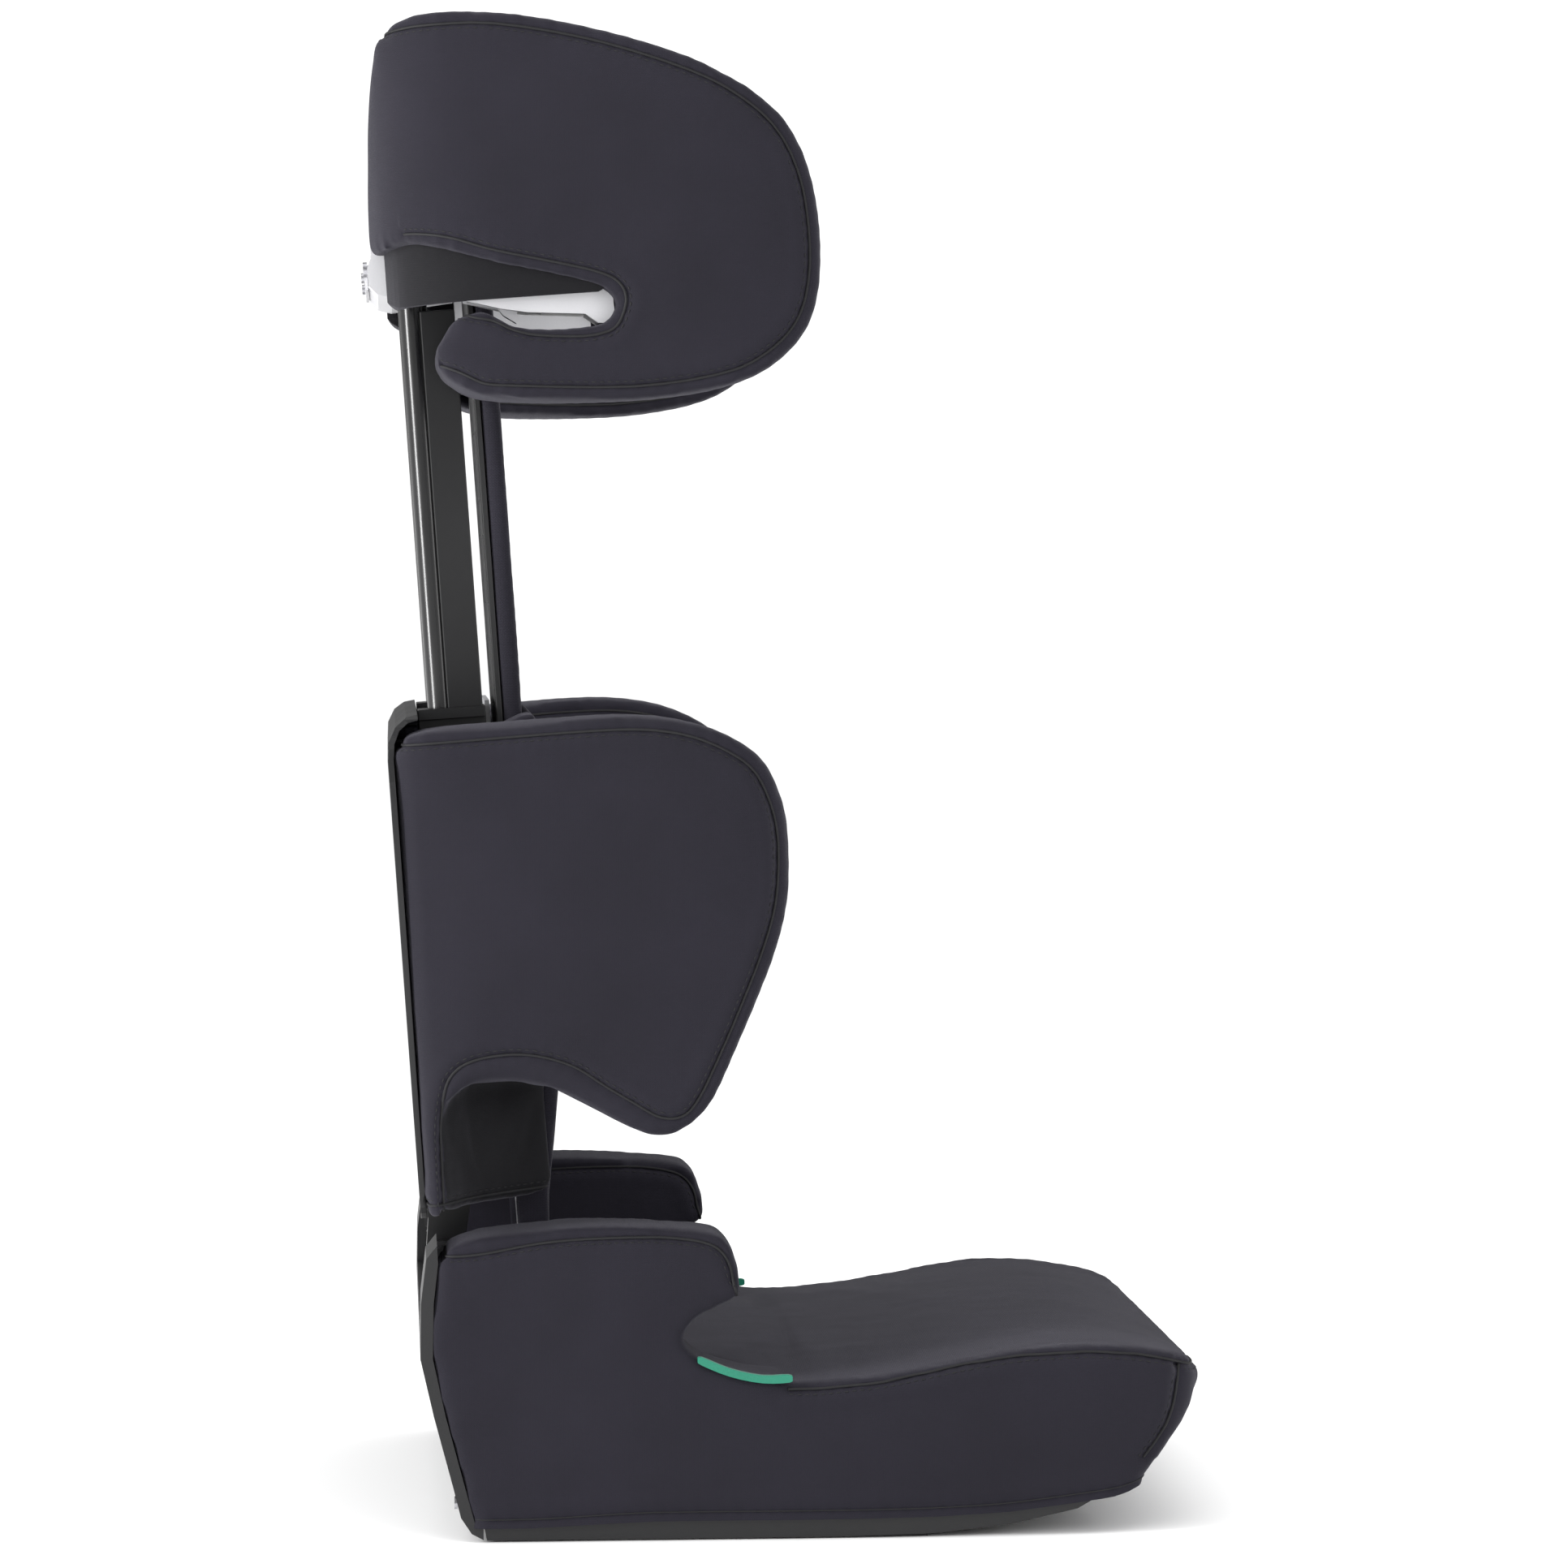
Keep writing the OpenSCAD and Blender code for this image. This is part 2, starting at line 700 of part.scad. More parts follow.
module headrest_foam() {
    color(foam_grey) leaned() difference() {
        head_form(cloth + ease + shell_t + ease, cloth + ease, cloth + ease);
        head_recess(0.5);
        both() box([lobe_x, 141.5, 647.5], [204, 146, 668.5]);
        both() bar_y(114, 130, 148, 658, 4);
        both() guide_space(0.3);
        both() for (y = guide_screw_y) bar_x(190, 210, y, guide_screw_z, 1.9);
    }
}

module headrest_cover() {
    color(charcoal) leaned() difference() {
        head_form(0, 0, 0);
        head_form(cloth, cloth, cloth);
        head_recess(0.5);
        box([-92, 170, 735], [92, 200, 812]);
        both() guide_space(0.3);
    }
}

// Cushion behind the sitter's head, which the bib carries on below.
module head_pad() {
    color(charcoal) leaned() intersection() {
        slab(-90, 90) polygon([
            [131.4, 731], [131.4, 830], [127, 836], [121.5, 831], [119.6, 800], [119, 760], [119.4, 731]
        ]);
        column(700, 880) offset(delta = -0.4) polygon(head_inner);
    }
}

module rail() {
    length = rail_top - rail_foot_z;
    difference() {
        translate([rail_x, rail_y, rail_foot_z]) cylinder(h = length, r = rail_r);
        translate([rail_x, rail_y, rail_foot_z - 1]) cylinder(h = length + 2, r = rail_r - 1.5);
        bar_y(rail_x, 150, 190, 716, 2.6);
    }
}

module rail_left() {
    color(black) leaned() left_side() rail();
}

module rail_right() {
    color(black) leaned() right_side() rail();
}

// Plastic channel that hugs the front of a rail tube.
module rail_channel() {
    difference() {
        column(rail_foot_z, channel_top) translate([rail_x - channel_half, channel_y0])
            square([2 * channel_half, channel_y1 - channel_y0]);
        translate([rail_x, rail_y, rail_foot_z - 1]) cylinder(h = 400, r = rail_r + 0.05);
        column(rail_foot_z - 1, channel_top - 4) translate([rail_x - 6.5, channel_y0 + 3]) square([13, 8]);
    }
}

module rail_channel_left() {
    color(black) leaned() left_side() rail_channel();
}

module rail_channel_right() {
    color(black) leaned() right_side() rail_channel();
}

// Block that ties the feet of the rails together and carries the latch.
module rail_carriage() {
    color(black) leaned() difference() {
        box([-100, 142.2, 396], [100, 186, 430]);
        both() column(390, 440) rail_section(0.05);
        box([-50, 153.5, 401], [50, 176, 440]);
        box([-12.3, 170, pawl_z - 0.3], [12.3, 190, pawl_z + 12.3]);
    }
}

module support_board() {
    color(black) leaned() difference() {
        union() {
            box([-bib_x + 3, board_y0, 428], [bib_x - 3, board_y1, board_top]);
            both() box([bib_x - 4, board_y0, 646], [bib_x + 0.4, 141.6, 670]);
            both() box([bib_x - 2, 138, 646], [126, 141.6, 670]);
        }
        for (x = [-55, 0, 55], z = [460 : 60 : 640]) box([x - 14, 130, z], [x + 14, 140, z + 40]);
        both() for (z = board_screw_z) bar_y(60, 130, 140, z, 1.7);
        both() for (z = board_screw_z) bar_y(60, 130, board_y0 + 1.9, z, 3.2);
        both() bar_y(114, 130, 150, 658, 1.7);
    }
}

// Padded bib that hides the rails from the front, below the headrest.
module bib_pad() {
    color(charcoal) leaned() slab(-bib_x, bib_x) polygon([
        [board_y0 - 0.3, 428], [board_y0 - 0.3, 729.5], [120, 729.5], [bib_front, 700], [bib_front, 434],
        [122, 428]
    ]);
}

// Screws that hold the board to the bracket; their heads lie in its front face.
module board_screws() {
    color(steel) leaned() both() for (z = board_screw_z) {
        bar_y(60, board_y0 + 1.8, 145, z, 1.6);
        bar_y(60, board_y0, board_y0 + 1.9, z, 3);
    }
}

// Screws that hold the lobe arms to the board.
module lobe_screws() {
    color(steel) leaned() both() screw_y(114, 145.6, 658, length = 7);
}

// Bolts that hold the rails in the bracket.
module rail_bolts() {
    color(steel) leaned() both() {
        bar_y(rail_x, 150, 191.1, 716, 2.5);
        bar_y(rail_x, 191, 193.4, 716, 4.5);
    }
}

module cover_screws() {
    color(steel) leaned() both() screw_y(70, 193.05, 712, head = 3, shank = 1.3, length = 8);
}

// Side outline of the belt guide: a bar along the top of the slot, hooked at its front end.
guide_side = [
    [139, 690], [119, 684], [104, 681], [72, 678], [65, 672.5], [59, 672], [55.6, 678], [56, 687],
    [63, 692.5], [94, 702.4], [120, 709.4], [139, 716]
];

// Space that a belt guide and its tongue take in the wing.
module guide_space(gap) {
    slab(guide_x0 - gap, guide_x1 + gap) offset(delta = gap) union() {
        polygon(guide_side);
        polygon([[76, 694], [76, 730], [120, 730], [120, 704]]);
    }
}

module shoulder_belt_guide() {
    difference() {
        slab(guide_x0, guide_x1) polygon(guide_side);
        slab(171.5, 190.5) polygon([[137, 670], [96, 670], [96, 696], [112, 703.5], [137, 707]]);
        bar_x(164, 195, gate_y, gate_z, 1.75);
    }
    difference() {
        box([192, 76.2, 698], [guide_x1, 119.8, 729.8]);
        for (y = guide_screw_y) bar_x(180, 220, y, guide_screw_z, 1.7);
    }
}

module shoulder_belt_guide_left() {
    color(pale_grey) leaned() left_side() shoulder_belt_guide();
}

module shoulder_belt_guide_right() {
    color(pale_grey) leaned() right_side() shoulder_belt_guide();
}

module guide_screws() {
    color(steel) leaned() both() for (y = guide_screw_y) {
        bar_x(190.2, 191.9, y, guide_screw_z, 3.2);
        bar_x(191.8, 206.8, y, guide_screw_z, 1.6);
    }
}

module gate_pins() {
    color(steel) leaned() both() bar_x(164.5, 194.5, gate_y, gate_z, 1.7);
}

module gate_springs() {
    color(steel) leaned() both() translate([172.6, gate_y, gate_z]) rotate([0, 90, 0])
        coil(2.6, 0.3, 0, 2.6, 3, 6, 12);
}

// ---------------------------------------------------------------- release

module release_handle() {
    color(black) leaned() difference() {
        union() {
            box([-47.4, 163, 780], [47.4, 183, 792]);
            both() box([wire_x - 5, 161, 766], [wire_x + 5, 172, 781]);
        }
        both() translate([wire_x, rail_y, 760]) cylinder(h = 14, r = wire_r + 0.02);
    }
}

// One bent wire: two legs from the handle, joined at the foot by a crosspiece that works the latch.
module release_wire() {
    color(steel) leaned() {
        bar_x(-wire_x, wire_x, rail_y, wire_z, wire_r);
        both() translate([wire_x, rail_y, wire_z]) {
            sphere(r = wire_r);
            cylinder(h = 366, r = wire_r);
            translate([0, 0, 304]) cylinder(h = 2, r = 4.5);
        }
    }
}

// A helix of round wire along Z.
module coil(r, wire, z0, z1, turns, sides = 8, steps = 14) {
    n = turns * steps;
    points = [for (i = [0 : n]) let (a = 360 * i / steps, z = z0 + (z1 - z0) * i / n)
        for (j = [0 : sides - 1]) let (b = 360 * j / sides)
            [(r + wire * cos(b)) * cos(a), (r + wire * cos(b)) * sin(a), z + wire * sin(b)]];
    walls = [for (i = [0 : n - 1], j = [0 : sides - 1]) let (k = (j + 1) % sides)
        [i * sides + j, (i + 1) * sides + j, (i + 1) * sides + k, i * sides + k]];
    ends = [[for (j = [0 : sides - 1]) j], [for (j = [sides - 1 : -1 : 0]) n * sides + j]];
    polyhedron(points = points, faces = concat(walls, ends));
}

module return_springs() {
    color(steel) leaned() both() translate([wire_x, rail_y, 0]) coil(3.4, 0.5, 714.6, 735.3, 5);
}

// Sliding latch whose sloping slot turns the wire's lift into a pull away from the rack.
module latch_pawl() {
    color(steel) leaned() difference() {
        union() {
            box([-12, 158, pawl_z - 2], [12, 175.6, pawl_z + 18]);
            box([-12, 175, pawl_z], [12, 189.5, pawl_z + 12]);
        }
        slab(-13, 13) hull() {
            translate([rail_y, wire_z]) circle(r = wire_r + 0.3);
            translate([rail_y + 4, wire_z + 8]) circle(r = wire_r + 0.3);
        }
    }
}

// Sprung finger that closes the belt guide's mouth.
module belt_gate() {
    difference() {
        union() {
            bar_x(176.5, 189.5, gate_y, gate_z, 3.4);
            slab(176.5, 189.5) polygon([
                [125.5, 702], [132, 694], [121, 686], [117.5, 680.5], [110.5, 675.6], [109.5, 682], [113, 690]
            ]);
        }
        bar_x(170, 195, gate_y, gate_z, 1.78);
    }
}

module belt_gate_left() {
    color(pale_grey) leaned() left_side() belt_gate();
}

module belt_gate_right() {
    color(pale_grey) leaned() right_side() belt_gate();
}

base_shell();
rear_trim();
trim_screws();
armrest_core_left();
armrest_core_right();
armrest_bolts();
seat_foam();
seat_cover();
lap_belt_guide_left();
lap_belt_guide_right();
hinge_rod();
hinge_rod_caps();
grip_pads();
cover_hooks();
back_shell();
back_front_plate();
rail_guide_left();
rail_guide_right();
height_rack();
back_screws();
wing_foam_left();
wing_foam_right();
wing_cover_left();
wing_cover_right();
back_pad();
hinge_hook_left();
hinge_hook_right();
hook_screws();
headrest_shell();
bracket_cover();
headrest_foam();
headrest_cover();
head_pad();
rail_left();
rail_right();
rail_channel_left();
rail_channel_right();
rail_carriage();
support_board();
bib_pad();
board_screws();
lobe_screws();
rail_bolts();
cover_screws();
shoulder_belt_guide_left();
shoulder_belt_guide_right();
guide_screws();
gate_pins();
gate_springs();
release_handle();
release_wire();
return_springs();
latch_pawl();
belt_gate_left();
belt_gate_right();
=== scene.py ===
"""Looks of the high-back booster seat: padded knit covers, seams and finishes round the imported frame.

Lengths in the outlines are millimetres.  Outlines of the backrest and headrest are drawn upright, as
(depth, height), and are then leaned back about the hinge with everything else that the backrest carries.
"""

import json
import math
from collections import defaultdict

import bmesh
import bpy
import numpy as np
from mathutils import Matrix, Vector, noise


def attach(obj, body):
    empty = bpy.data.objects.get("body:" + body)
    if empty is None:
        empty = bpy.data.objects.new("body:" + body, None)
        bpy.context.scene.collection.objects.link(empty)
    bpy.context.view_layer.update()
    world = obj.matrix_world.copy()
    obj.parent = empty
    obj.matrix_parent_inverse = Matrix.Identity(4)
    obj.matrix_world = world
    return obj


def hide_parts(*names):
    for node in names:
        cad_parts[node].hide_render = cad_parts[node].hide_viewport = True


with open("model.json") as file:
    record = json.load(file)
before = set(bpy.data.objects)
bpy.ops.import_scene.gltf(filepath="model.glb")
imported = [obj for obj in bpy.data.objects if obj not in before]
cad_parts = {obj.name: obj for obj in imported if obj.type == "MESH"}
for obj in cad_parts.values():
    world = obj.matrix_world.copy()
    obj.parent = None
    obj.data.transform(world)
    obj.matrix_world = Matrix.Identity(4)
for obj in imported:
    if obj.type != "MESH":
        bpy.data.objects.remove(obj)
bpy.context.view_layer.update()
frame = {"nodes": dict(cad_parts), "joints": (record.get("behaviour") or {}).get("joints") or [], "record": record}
MM = 0.001

# ------------------------------------------------------------------ camera


def add_camera():
    """Looks at the seat from its right-hand side, a little above the middle of its height."""
    data = bpy.data.cameras.new("camera")
    data.sensor_width = 36
    data.lens = 131.8
    camera = bpy.data.objects.new("camera", data)
    bpy.context.scene.collection.objects.link(camera)
    eye = Vector((-3.4, 0.2180, 0.5456))
    target = Vector((-0.22, -0.0017, 0.4234))
    camera.location = eye
    camera.rotation_euler = (target - eye).to_track_quat("-Z", "Y").to_euler()
    bpy.context.scene.camera = camera


add_camera()

# ------------------------------------------------------------------ where things are

joints = {j["name"]: j for j in frame["joints"]}
hinge = Vector(joints["back_recline"]["pos_m"])
up_rails = Vector(joints["headrest_height"]["axis"])
lean = math.atan2(up_rails.y, up_rails.z)
HINGE_UPRIGHT = Vector((0, 188, 148)) * MM
LEANED = Matrix.Translation(hinge) @ Matrix.Rotation(-lean, 4, "X") @ Matrix.Translation(-HINGE_UPRIGHT)
PLACED = Matrix.Translation((0, hinge.y - HINGE_UPRIGHT.y, 0))

# Outline of the headrest from the side: rear edge, crown, front, lower lobe, belt slot.
HEAD_SIDE = [
    (189, 721), (187, 765), (182, 812), (175, 840), (154, 849), (111, 847), (51, 833), (-8, 809),
    (-45, 780), (-60, 742), (-61, 694), (-48, 658), (-13, 635), (48, 629), (132, 636), (153, 649),
    (157, 661), (145, 679), (132, 683.5), (122, 680), (116, 675), (106, 672), (88, 670), (69, 670),
    (58, 673), (54, 684), (62, 693), (94, 703), (120, 710), (146, 719), (164, 723.5), (182, 722),
]
# Half of the headrest's outside and inside from above, from the middle to its right-hand front edge.
HEAD_OUTER = [
    (0, 190), (110, 189), (165, 182), (198, 160), (210, 125), (212, 60), (211, 0), (204, -40), (190, -64),
]
HEAD_INNER = [
    (0, 134), (80, 132), (118, 122), (140, 96), (152, 50), (160, 0), (168, -45), (180, -70), (180, -90),
]
# The fabric that hangs in front of the belt guide from the roof of the slot.
SLOT_LINING = [
    (64, 689.5), (172, 689.5), (179, 693), (184, 702), (185, 722), (166, 726), (146, 722), (94, 706),
    (60, 695),
]
# Room for the bracket at the foot of the headrest.
BRACKET_SIDE = [
    (140.5, 702), (160, 700), (178, 697.5), (186.5, 700), (191.6, 706), (191.6, 716), (189, 742),
    (140.5, 742),
]
# Outline of a backrest wing from the side, and of the wing and of its flank from above.
WING_SIDE = [
    (196, 186), (196, 436), (193, 446), (184, 452), (165, 453), (121, 453), (86, 454), (52, 452), (20, 443),
    (-6, 426), (-17, 402), (-20, 378), (-16, 344), (-6, 315), (13, 277), (32, 241), (45, 227), (62, 220),
    (78, 225), (101, 240), (120, 251), (142, 257), (165, 257), (178, 250), (184, 236), (186, 212), (186, 186),
]
WING_PLAN = [
    (162, 195.5), (208, 195.5), (224, 193), (232, 182), (235, 164), (235, 45), (231, 5), (222, -14),
    (209, -20), (198, -14), (190, 14), (183, 60), (176, 104), (167, 122), (162, 138),
]
FLANK_PLAN = [
    (162, 185.8), (224, 185.8), (212, 180), (196, 168), (182, 150), (172, 132), (166, 124), (162, 122),
]
# Outlines of the cushion from the side and the front, of the base from above and of an armrest from the side.
CUSHION_SIDE = [
    (150, -6), (150, 95), (80, 91), (22, 88.5), (-15, 88.5), (-42, 90), (-74, 94), (-106, 100), (-128, 104),
    (-151, 106.5), (-174, 106.4), (-196, 104), (-212, 101), (-224, 96.5), (-231.5, 90), (-232.5, 80),
    (-226, 70), (-215, 52), (-206, 39), (-199, 20), (-186, 10), (-167, 4), (-127, -2), (-86, -6), (72, -6),
    (107, -6),
]
CUSHION_FRONT = [
    (216, -20), (216, 99), (212, 105), (203, 109), (180, 111.5), (90, 113), (-90, 113), (-180, 111.5),
    (-203, 109), (-212, 105), (-216, 99), (-216, -20),
]
BASE_PLAN = [
    (0, -240), (150, -240), (166, -233), (188, -225), (202, -208), (209, -175), (213, -120), (215.5, -50),
    (216, 0), (216, 230),
]
ARMREST_SIDE = [
    (2, -6), (107, -8), (171, -8), (174, 15), (177, 30), (188, 71), (195, 103), (194.6, 134), (192, 156),
    (186, 165), (167, 171), (141, 174), (107, 176), (72, 175), (48, 173.5), (36, 171), (28, 162),
    (24.5, 148), (25, 137), (39, 129.5), (49, 125), (55, 118), (55.5, 109), (46, 101.5), (30, 95.5),
    (12, 91), (2, 89.5),
]
# Lower edge of the base's cover, where the moulding's rim starts to show.
HEM = [
    (-214, 34), (-204, 27), (-196, 23.5), (-187, 21), (-167, 18.5), (-127, 14), (-86, 12), (-40, 11.5),
    (72, 11.5), (107, 10), (141, 8.4), (215, 8),
]
SHELL_SIDE = [
    (165.5, -9), (-45, -9), (-86, 0), (-127, 6), (-167, 14), (-187, 25), (-196, 33), (-203, 45), (-212, 60),
    (-209, 66.5), (-200, 68.5), (181.5, 68.5), (172.8, 30), (167.2, 9),
]

# Seams, each a line across one view of its piece.
HEAD_RIM_SEAM = [
    (215, 841), (176, 841), (154, 842.5), (111, 840.5), (53, 826.5), (-5, 803), (-39, 776), (-53.5, 741),
    (-54.5, 695), (-42.5, 662.5), (-10, 641.5), (48, 635.5), (128, 642), (144, 650), (170, 662),
]
HEAD_SLOT_SEAM = [
    (215, 705), (189, 721), (180, 728), (166, 729), (145, 725), (120, 716), (94, 709), (69, 702), (55, 696),
    (49, 687), (51, 677), (57, 668), (71, 665), (89, 666), (104, 668), (115, 672), (124, 677), (136, 680),
    (160, 690),
]
WING_SEAM = [
    (215, 446), (150, 446.5), (86, 447), (52, 445), (24, 437), (0, 421), (-10, 400), (-13, 378), (-9.5, 346),
    (0.5, 318), (19, 280), (38, 245), (47, 233), (55, 229.5), (65, 231.5), (76, 239), (92, 250), (108, 262),
    (125, 269), (142, 272), (160, 271), (172, 267), (180, 258), (185, 237), (186, 217), (187, 170),
]
CUSHION_SEAM = [
    (-4, 84.5), (-20, 84.5), (-38, 86), (-56, 88), (-74, 91), (-106, 97.5), (-133, 101.5), (-164, 103),
    (-187, 101.5), (-208, 98), (-222, 93.5), (-232, 91), (-250, 91),
]
FRONT_CORNER_SEAM = [(-218, 99), (-217, 89), (-213.5, 69), (-203.5, 48), (-192, 32.5), (-184, 24)]
ARMREST_SEAM = [
    (215, 159), (196, 160), (170, 161.5), (136, 167.5), (106, 170), (72, 170.5), (50, 168.5), (38, 165),
    (31, 157), (28, 146),
]


def smooth_line(points, steps, closed=True):
    """Points along a smooth curve through the given ones; no tangent is longer than its shorter side."""
    pts = [Vector(p) for p in points]
    count = len(pts)
    tangents = []
    for i, here in enumerate(pts):
        before = pts[i - 1] if closed or i else here
        after = pts[(i + 1) % count] if closed or i < count - 1 else here
        reach = min((here - before).length, (after - here).length) or (after - before).length
        tangents.append((after - before).normalized() * reach)
    line = []
    for i in range(count if closed else count - 1):
        a, b = pts[i], pts[(i + 1) % count]
        m, n = tangents[i], tangents[(i + 1) % count]
        for k in range(steps):
            t = k / steps
            line.append(
                a * (2 * t**3 - 3 * t**2 + 1) + m * (t**3 - 2 * t**2 + t)
                + b * (3 * t**2 - 2 * t**3) + n * (t**3 - t**2)
            )
    return line if closed else line + [pts[-1]]


def mirrored(half):
    """A closed plan from its +X half, which starts on the middle line."""
    return half + [(-x, y) for x, y in reversed(half[1:])]


# ------------------------------------------------------------------ forms

VIEW = {
    "side": lambda p, t: Vector((t, p[0], p[1])),
    "plan": lambda p, t: Vector((p[0], p[1], t)),
    "front": lambda p, t: Vector((p[0], t, p[1])),
}


def make_object(name, bm):
    mesh = bpy.data.meshes.new(name)
    bm.to_mesh(mesh)
    bm.free()
    obj = bpy.data.objects.new(name, mesh)
    bpy.context.scene.collection.objects.link(obj)
    return obj


def discard(obj):
    bpy.data.objects.remove(obj)


def settle(obj):
    """Applies an object's modifiers."""
    evaluated = obj.evaluated_get(bpy.context.evaluated_depsgraph_get())
    mesh = bpy.data.meshes.new_from_object(evaluated)
    obj.modifiers.clear()
    obj.data = mesh


def prism(points, view, low, high):
    """An outline seen in one view, given thickness from low to high."""
    bm = bmesh.new()
    bm.faces.new([bm.verts.new(VIEW[view](p, low) * MM) for p in points])
    grown = bmesh.ops.extrude_face_region(bm, geom=bm.faces[:])["geom"]
    far = [v for v in grown if isinstance(v, bmesh.types.BMVert)]
    bmesh.ops.translate(bm, verts=far, vec=VIEW[view]((0, 0), high - low) * MM)
    bmesh.ops.recalc_face_normals(bm, faces=bm.faces[:])
    return make_object("form", bm)


def block(low, high):
    """A box between two corners, for cutting."""
    corners = [(low[1], low[2]), (high[1], low[2]), (high[1], high[2]), (low[1], high[2])]
    return prism(corners, "side", low[0], high[0])


def combine(obj, other, operation):
    """Cuts, joins or intersects one form with another."""
    cut = obj.modifiers.new("combine", "BOOLEAN")
    cut.operation = operation
    cut.solver = "EXACT"
    cut.object = other
    settle(obj)
    discard(other)
    return obj


def coordinates(obj):
    co = np.empty(len(obj.data.vertices) * 3, np.float32)
    obj.data.vertices.foreach_get("co", co)
    return co.reshape(-1, 3).astype(float)


def set_coordinates(obj, co):
    obj.data.vertices.foreach_set("co", co.astype(np.float32).ravel())
    obj.data.update()


def normals(obj):
    n = np.empty(len(obj.data.vertices) * 3, np.float32)
    obj.data.vertex_normals.foreach_get("vector", n)
    return n.reshape(-1, 3).astype(float)


def remesh(obj, voxel, smoothing):
    """Even quads of the given size over a form, with its edges rounded over."""
    skin = obj.modifiers.new("skin", "REMESH")
    skin.mode = "VOXEL"
    skin.voxel_size = voxel * MM
    soft = obj.modifiers.new("soft", "SMOOTH")
    soft.factor = 0.5
    soft.iterations = smoothing
    settle(obj)


def swell(obj, held, cap, pressure=4.0, frames=20):
    """Inflates the form against its own cloth; held is how firmly each point stays, 0 to 1."""
    scene = bpy.context.scene
    rest = coordinates(obj)
    group = obj.vertex_groups.new(name="held")
    for i in np.nonzero(held > 0.01)[0]:
        group.add([int(i)], float(held[i]), "REPLACE")
    cloth = obj.modifiers.new("swell", "CLOTH")
    cloth.settings.quality = 5
    cloth.settings.mass = 0.3
    cloth.settings.tension_stiffness = 15
    cloth.settings.compression_stiffness = 15
    cloth.settings.shear_stiffness = 5
    cloth.settings.bending_stiffness = 0.5
    cloth.settings.vertex_group_mass = "held"
    cloth.settings.use_pressure = True
    cloth.settings.uniform_pressure_force = pressure
    cloth.settings.effector_weights.gravity = 0
    cloth.collision_settings.use_collision = False
    cloth.point_cache.frame_start = 1
    cloth.point_cache.frame_end = frames
    for f in range(1, frames + 1):
        scene.frame_set(f)
    evaluated = obj.evaluated_get(bpy.context.evaluated_depsgraph_get())
    moved = coordinates(evaluated)
    obj.modifiers.clear()
    obj.vertex_groups.clear()
    scene.frame_set(1)
    step = moved - rest
    far = np.linalg.norm(step, axis=1, keepdims=True)
    step *= np.minimum(1, cap * MM / np.maximum(far, 1e-9))
    set_coordinates(obj, rest + step)


def subdivide(obj):
    finer = obj.modifiers.new("finer", "SUBSURF")
    finer.levels = 1
    finer.render_levels = 1
    settle(obj)


# ------------------------------------------------------------------ seams


def across(points2, line):
    """Signed distance of each point from a line, in millimetres, and how far along the line it lies."""
    line = np.array([tuple(p) for p in line], float)
    starts, ends = line[:-1], line[1:]
    run = ends - starts
    length = np.linalg.norm(run, axis=1)
    before = np.concatenate([[0], np.cumsum(length)[:-1]])
    best = np.full(len(points2), 1e9)
    signed = np.full(len(points2), 1e9)
    along = np.zeros(len(points2))
    for a, d, size, s0 in zip(starts, run, length, before):
        rel = points2 - a
        t = np.clip(rel @ d / size**2, 0, 1)
        off = rel - t[:, None] * d
        dist = np.hypot(off[:, 0], off[:, 1])
        nearer = dist < best
        side = np.sign(d[0] * rel[:, 1] - d[1] * rel[:, 0])
        best[nearer] = dist[nearer]
        signed[nearer] = (dist * np.where(side == 0, 1, side))[nearer]
        along[nearer] = (s0 + t * size)[nearer]
    return signed, along


class Seam:
    """A seam line across one view of a piece, kept to the points that where() accepts."""

    def __init__(self, line, view="side", where=None, closed=False, depth=1.7, rows=(2.8,), cord=0.85):
        self.line = smooth_line(line, 4, closed)
        if closed:
            self.line = self.line + [self.line[0]]
        self.axes = {"side": (1, 2), "plan": (0, 1), "front": (0, 2)}[view]
        self.where = where or (lambda co: np.ones(len(co), bool))
        self.depth = depth
        self.rows = rows
        self.cord = cord

    def field(self, co):
        """Signed distance, distance along, and which points count, for coordinates in metres."""
        co = co / MM
        signed, along = across(co[:, self.axes], self.line)
        return signed, along, self.where(co)


def pull_in(obj, seams):
    """Draws the fabric in along its seams, rolls it up beside them and puckers it a little."""
    co, n = coordinates(obj), normals(obj)
    lift = np.zeros(len(co))
    for seam in seams:
        signed, along, counts = seam.field(co)
        d = np.abs(signed)
        groove = -seam.depth * np.exp(-((d / 2.1) ** 2))
        roll = 0.55 * np.exp(-(((d - 7.0) / 4.0) ** 2))
        pucker = 0.22 * np.sin(along * 2 * math.pi / 9.5 + np.sin(along / 17.0) * 2) * np.exp(-d / 6.0)
        lift += np.where(counts, groove + roll + pucker, 0)
    set_coordinates(obj, co + n * lift[:, None] * MM)


def rumple(obj, height=0.5, size=55.0):
    """Slow unevenness of fabric over foam."""
    co, n = coordinates(obj), normals(obj)
    broad = np.array([noise.noise(Vector(p) / (size * MM)) for p in co])
    fine = np.array([noise.noise(Vector(p) / (size * 0.4 * MM)) for p in co])
    lift = broad + 0.5 * fine
    set_coordinates(obj, co + n * (lift * height * MM)[:, None])


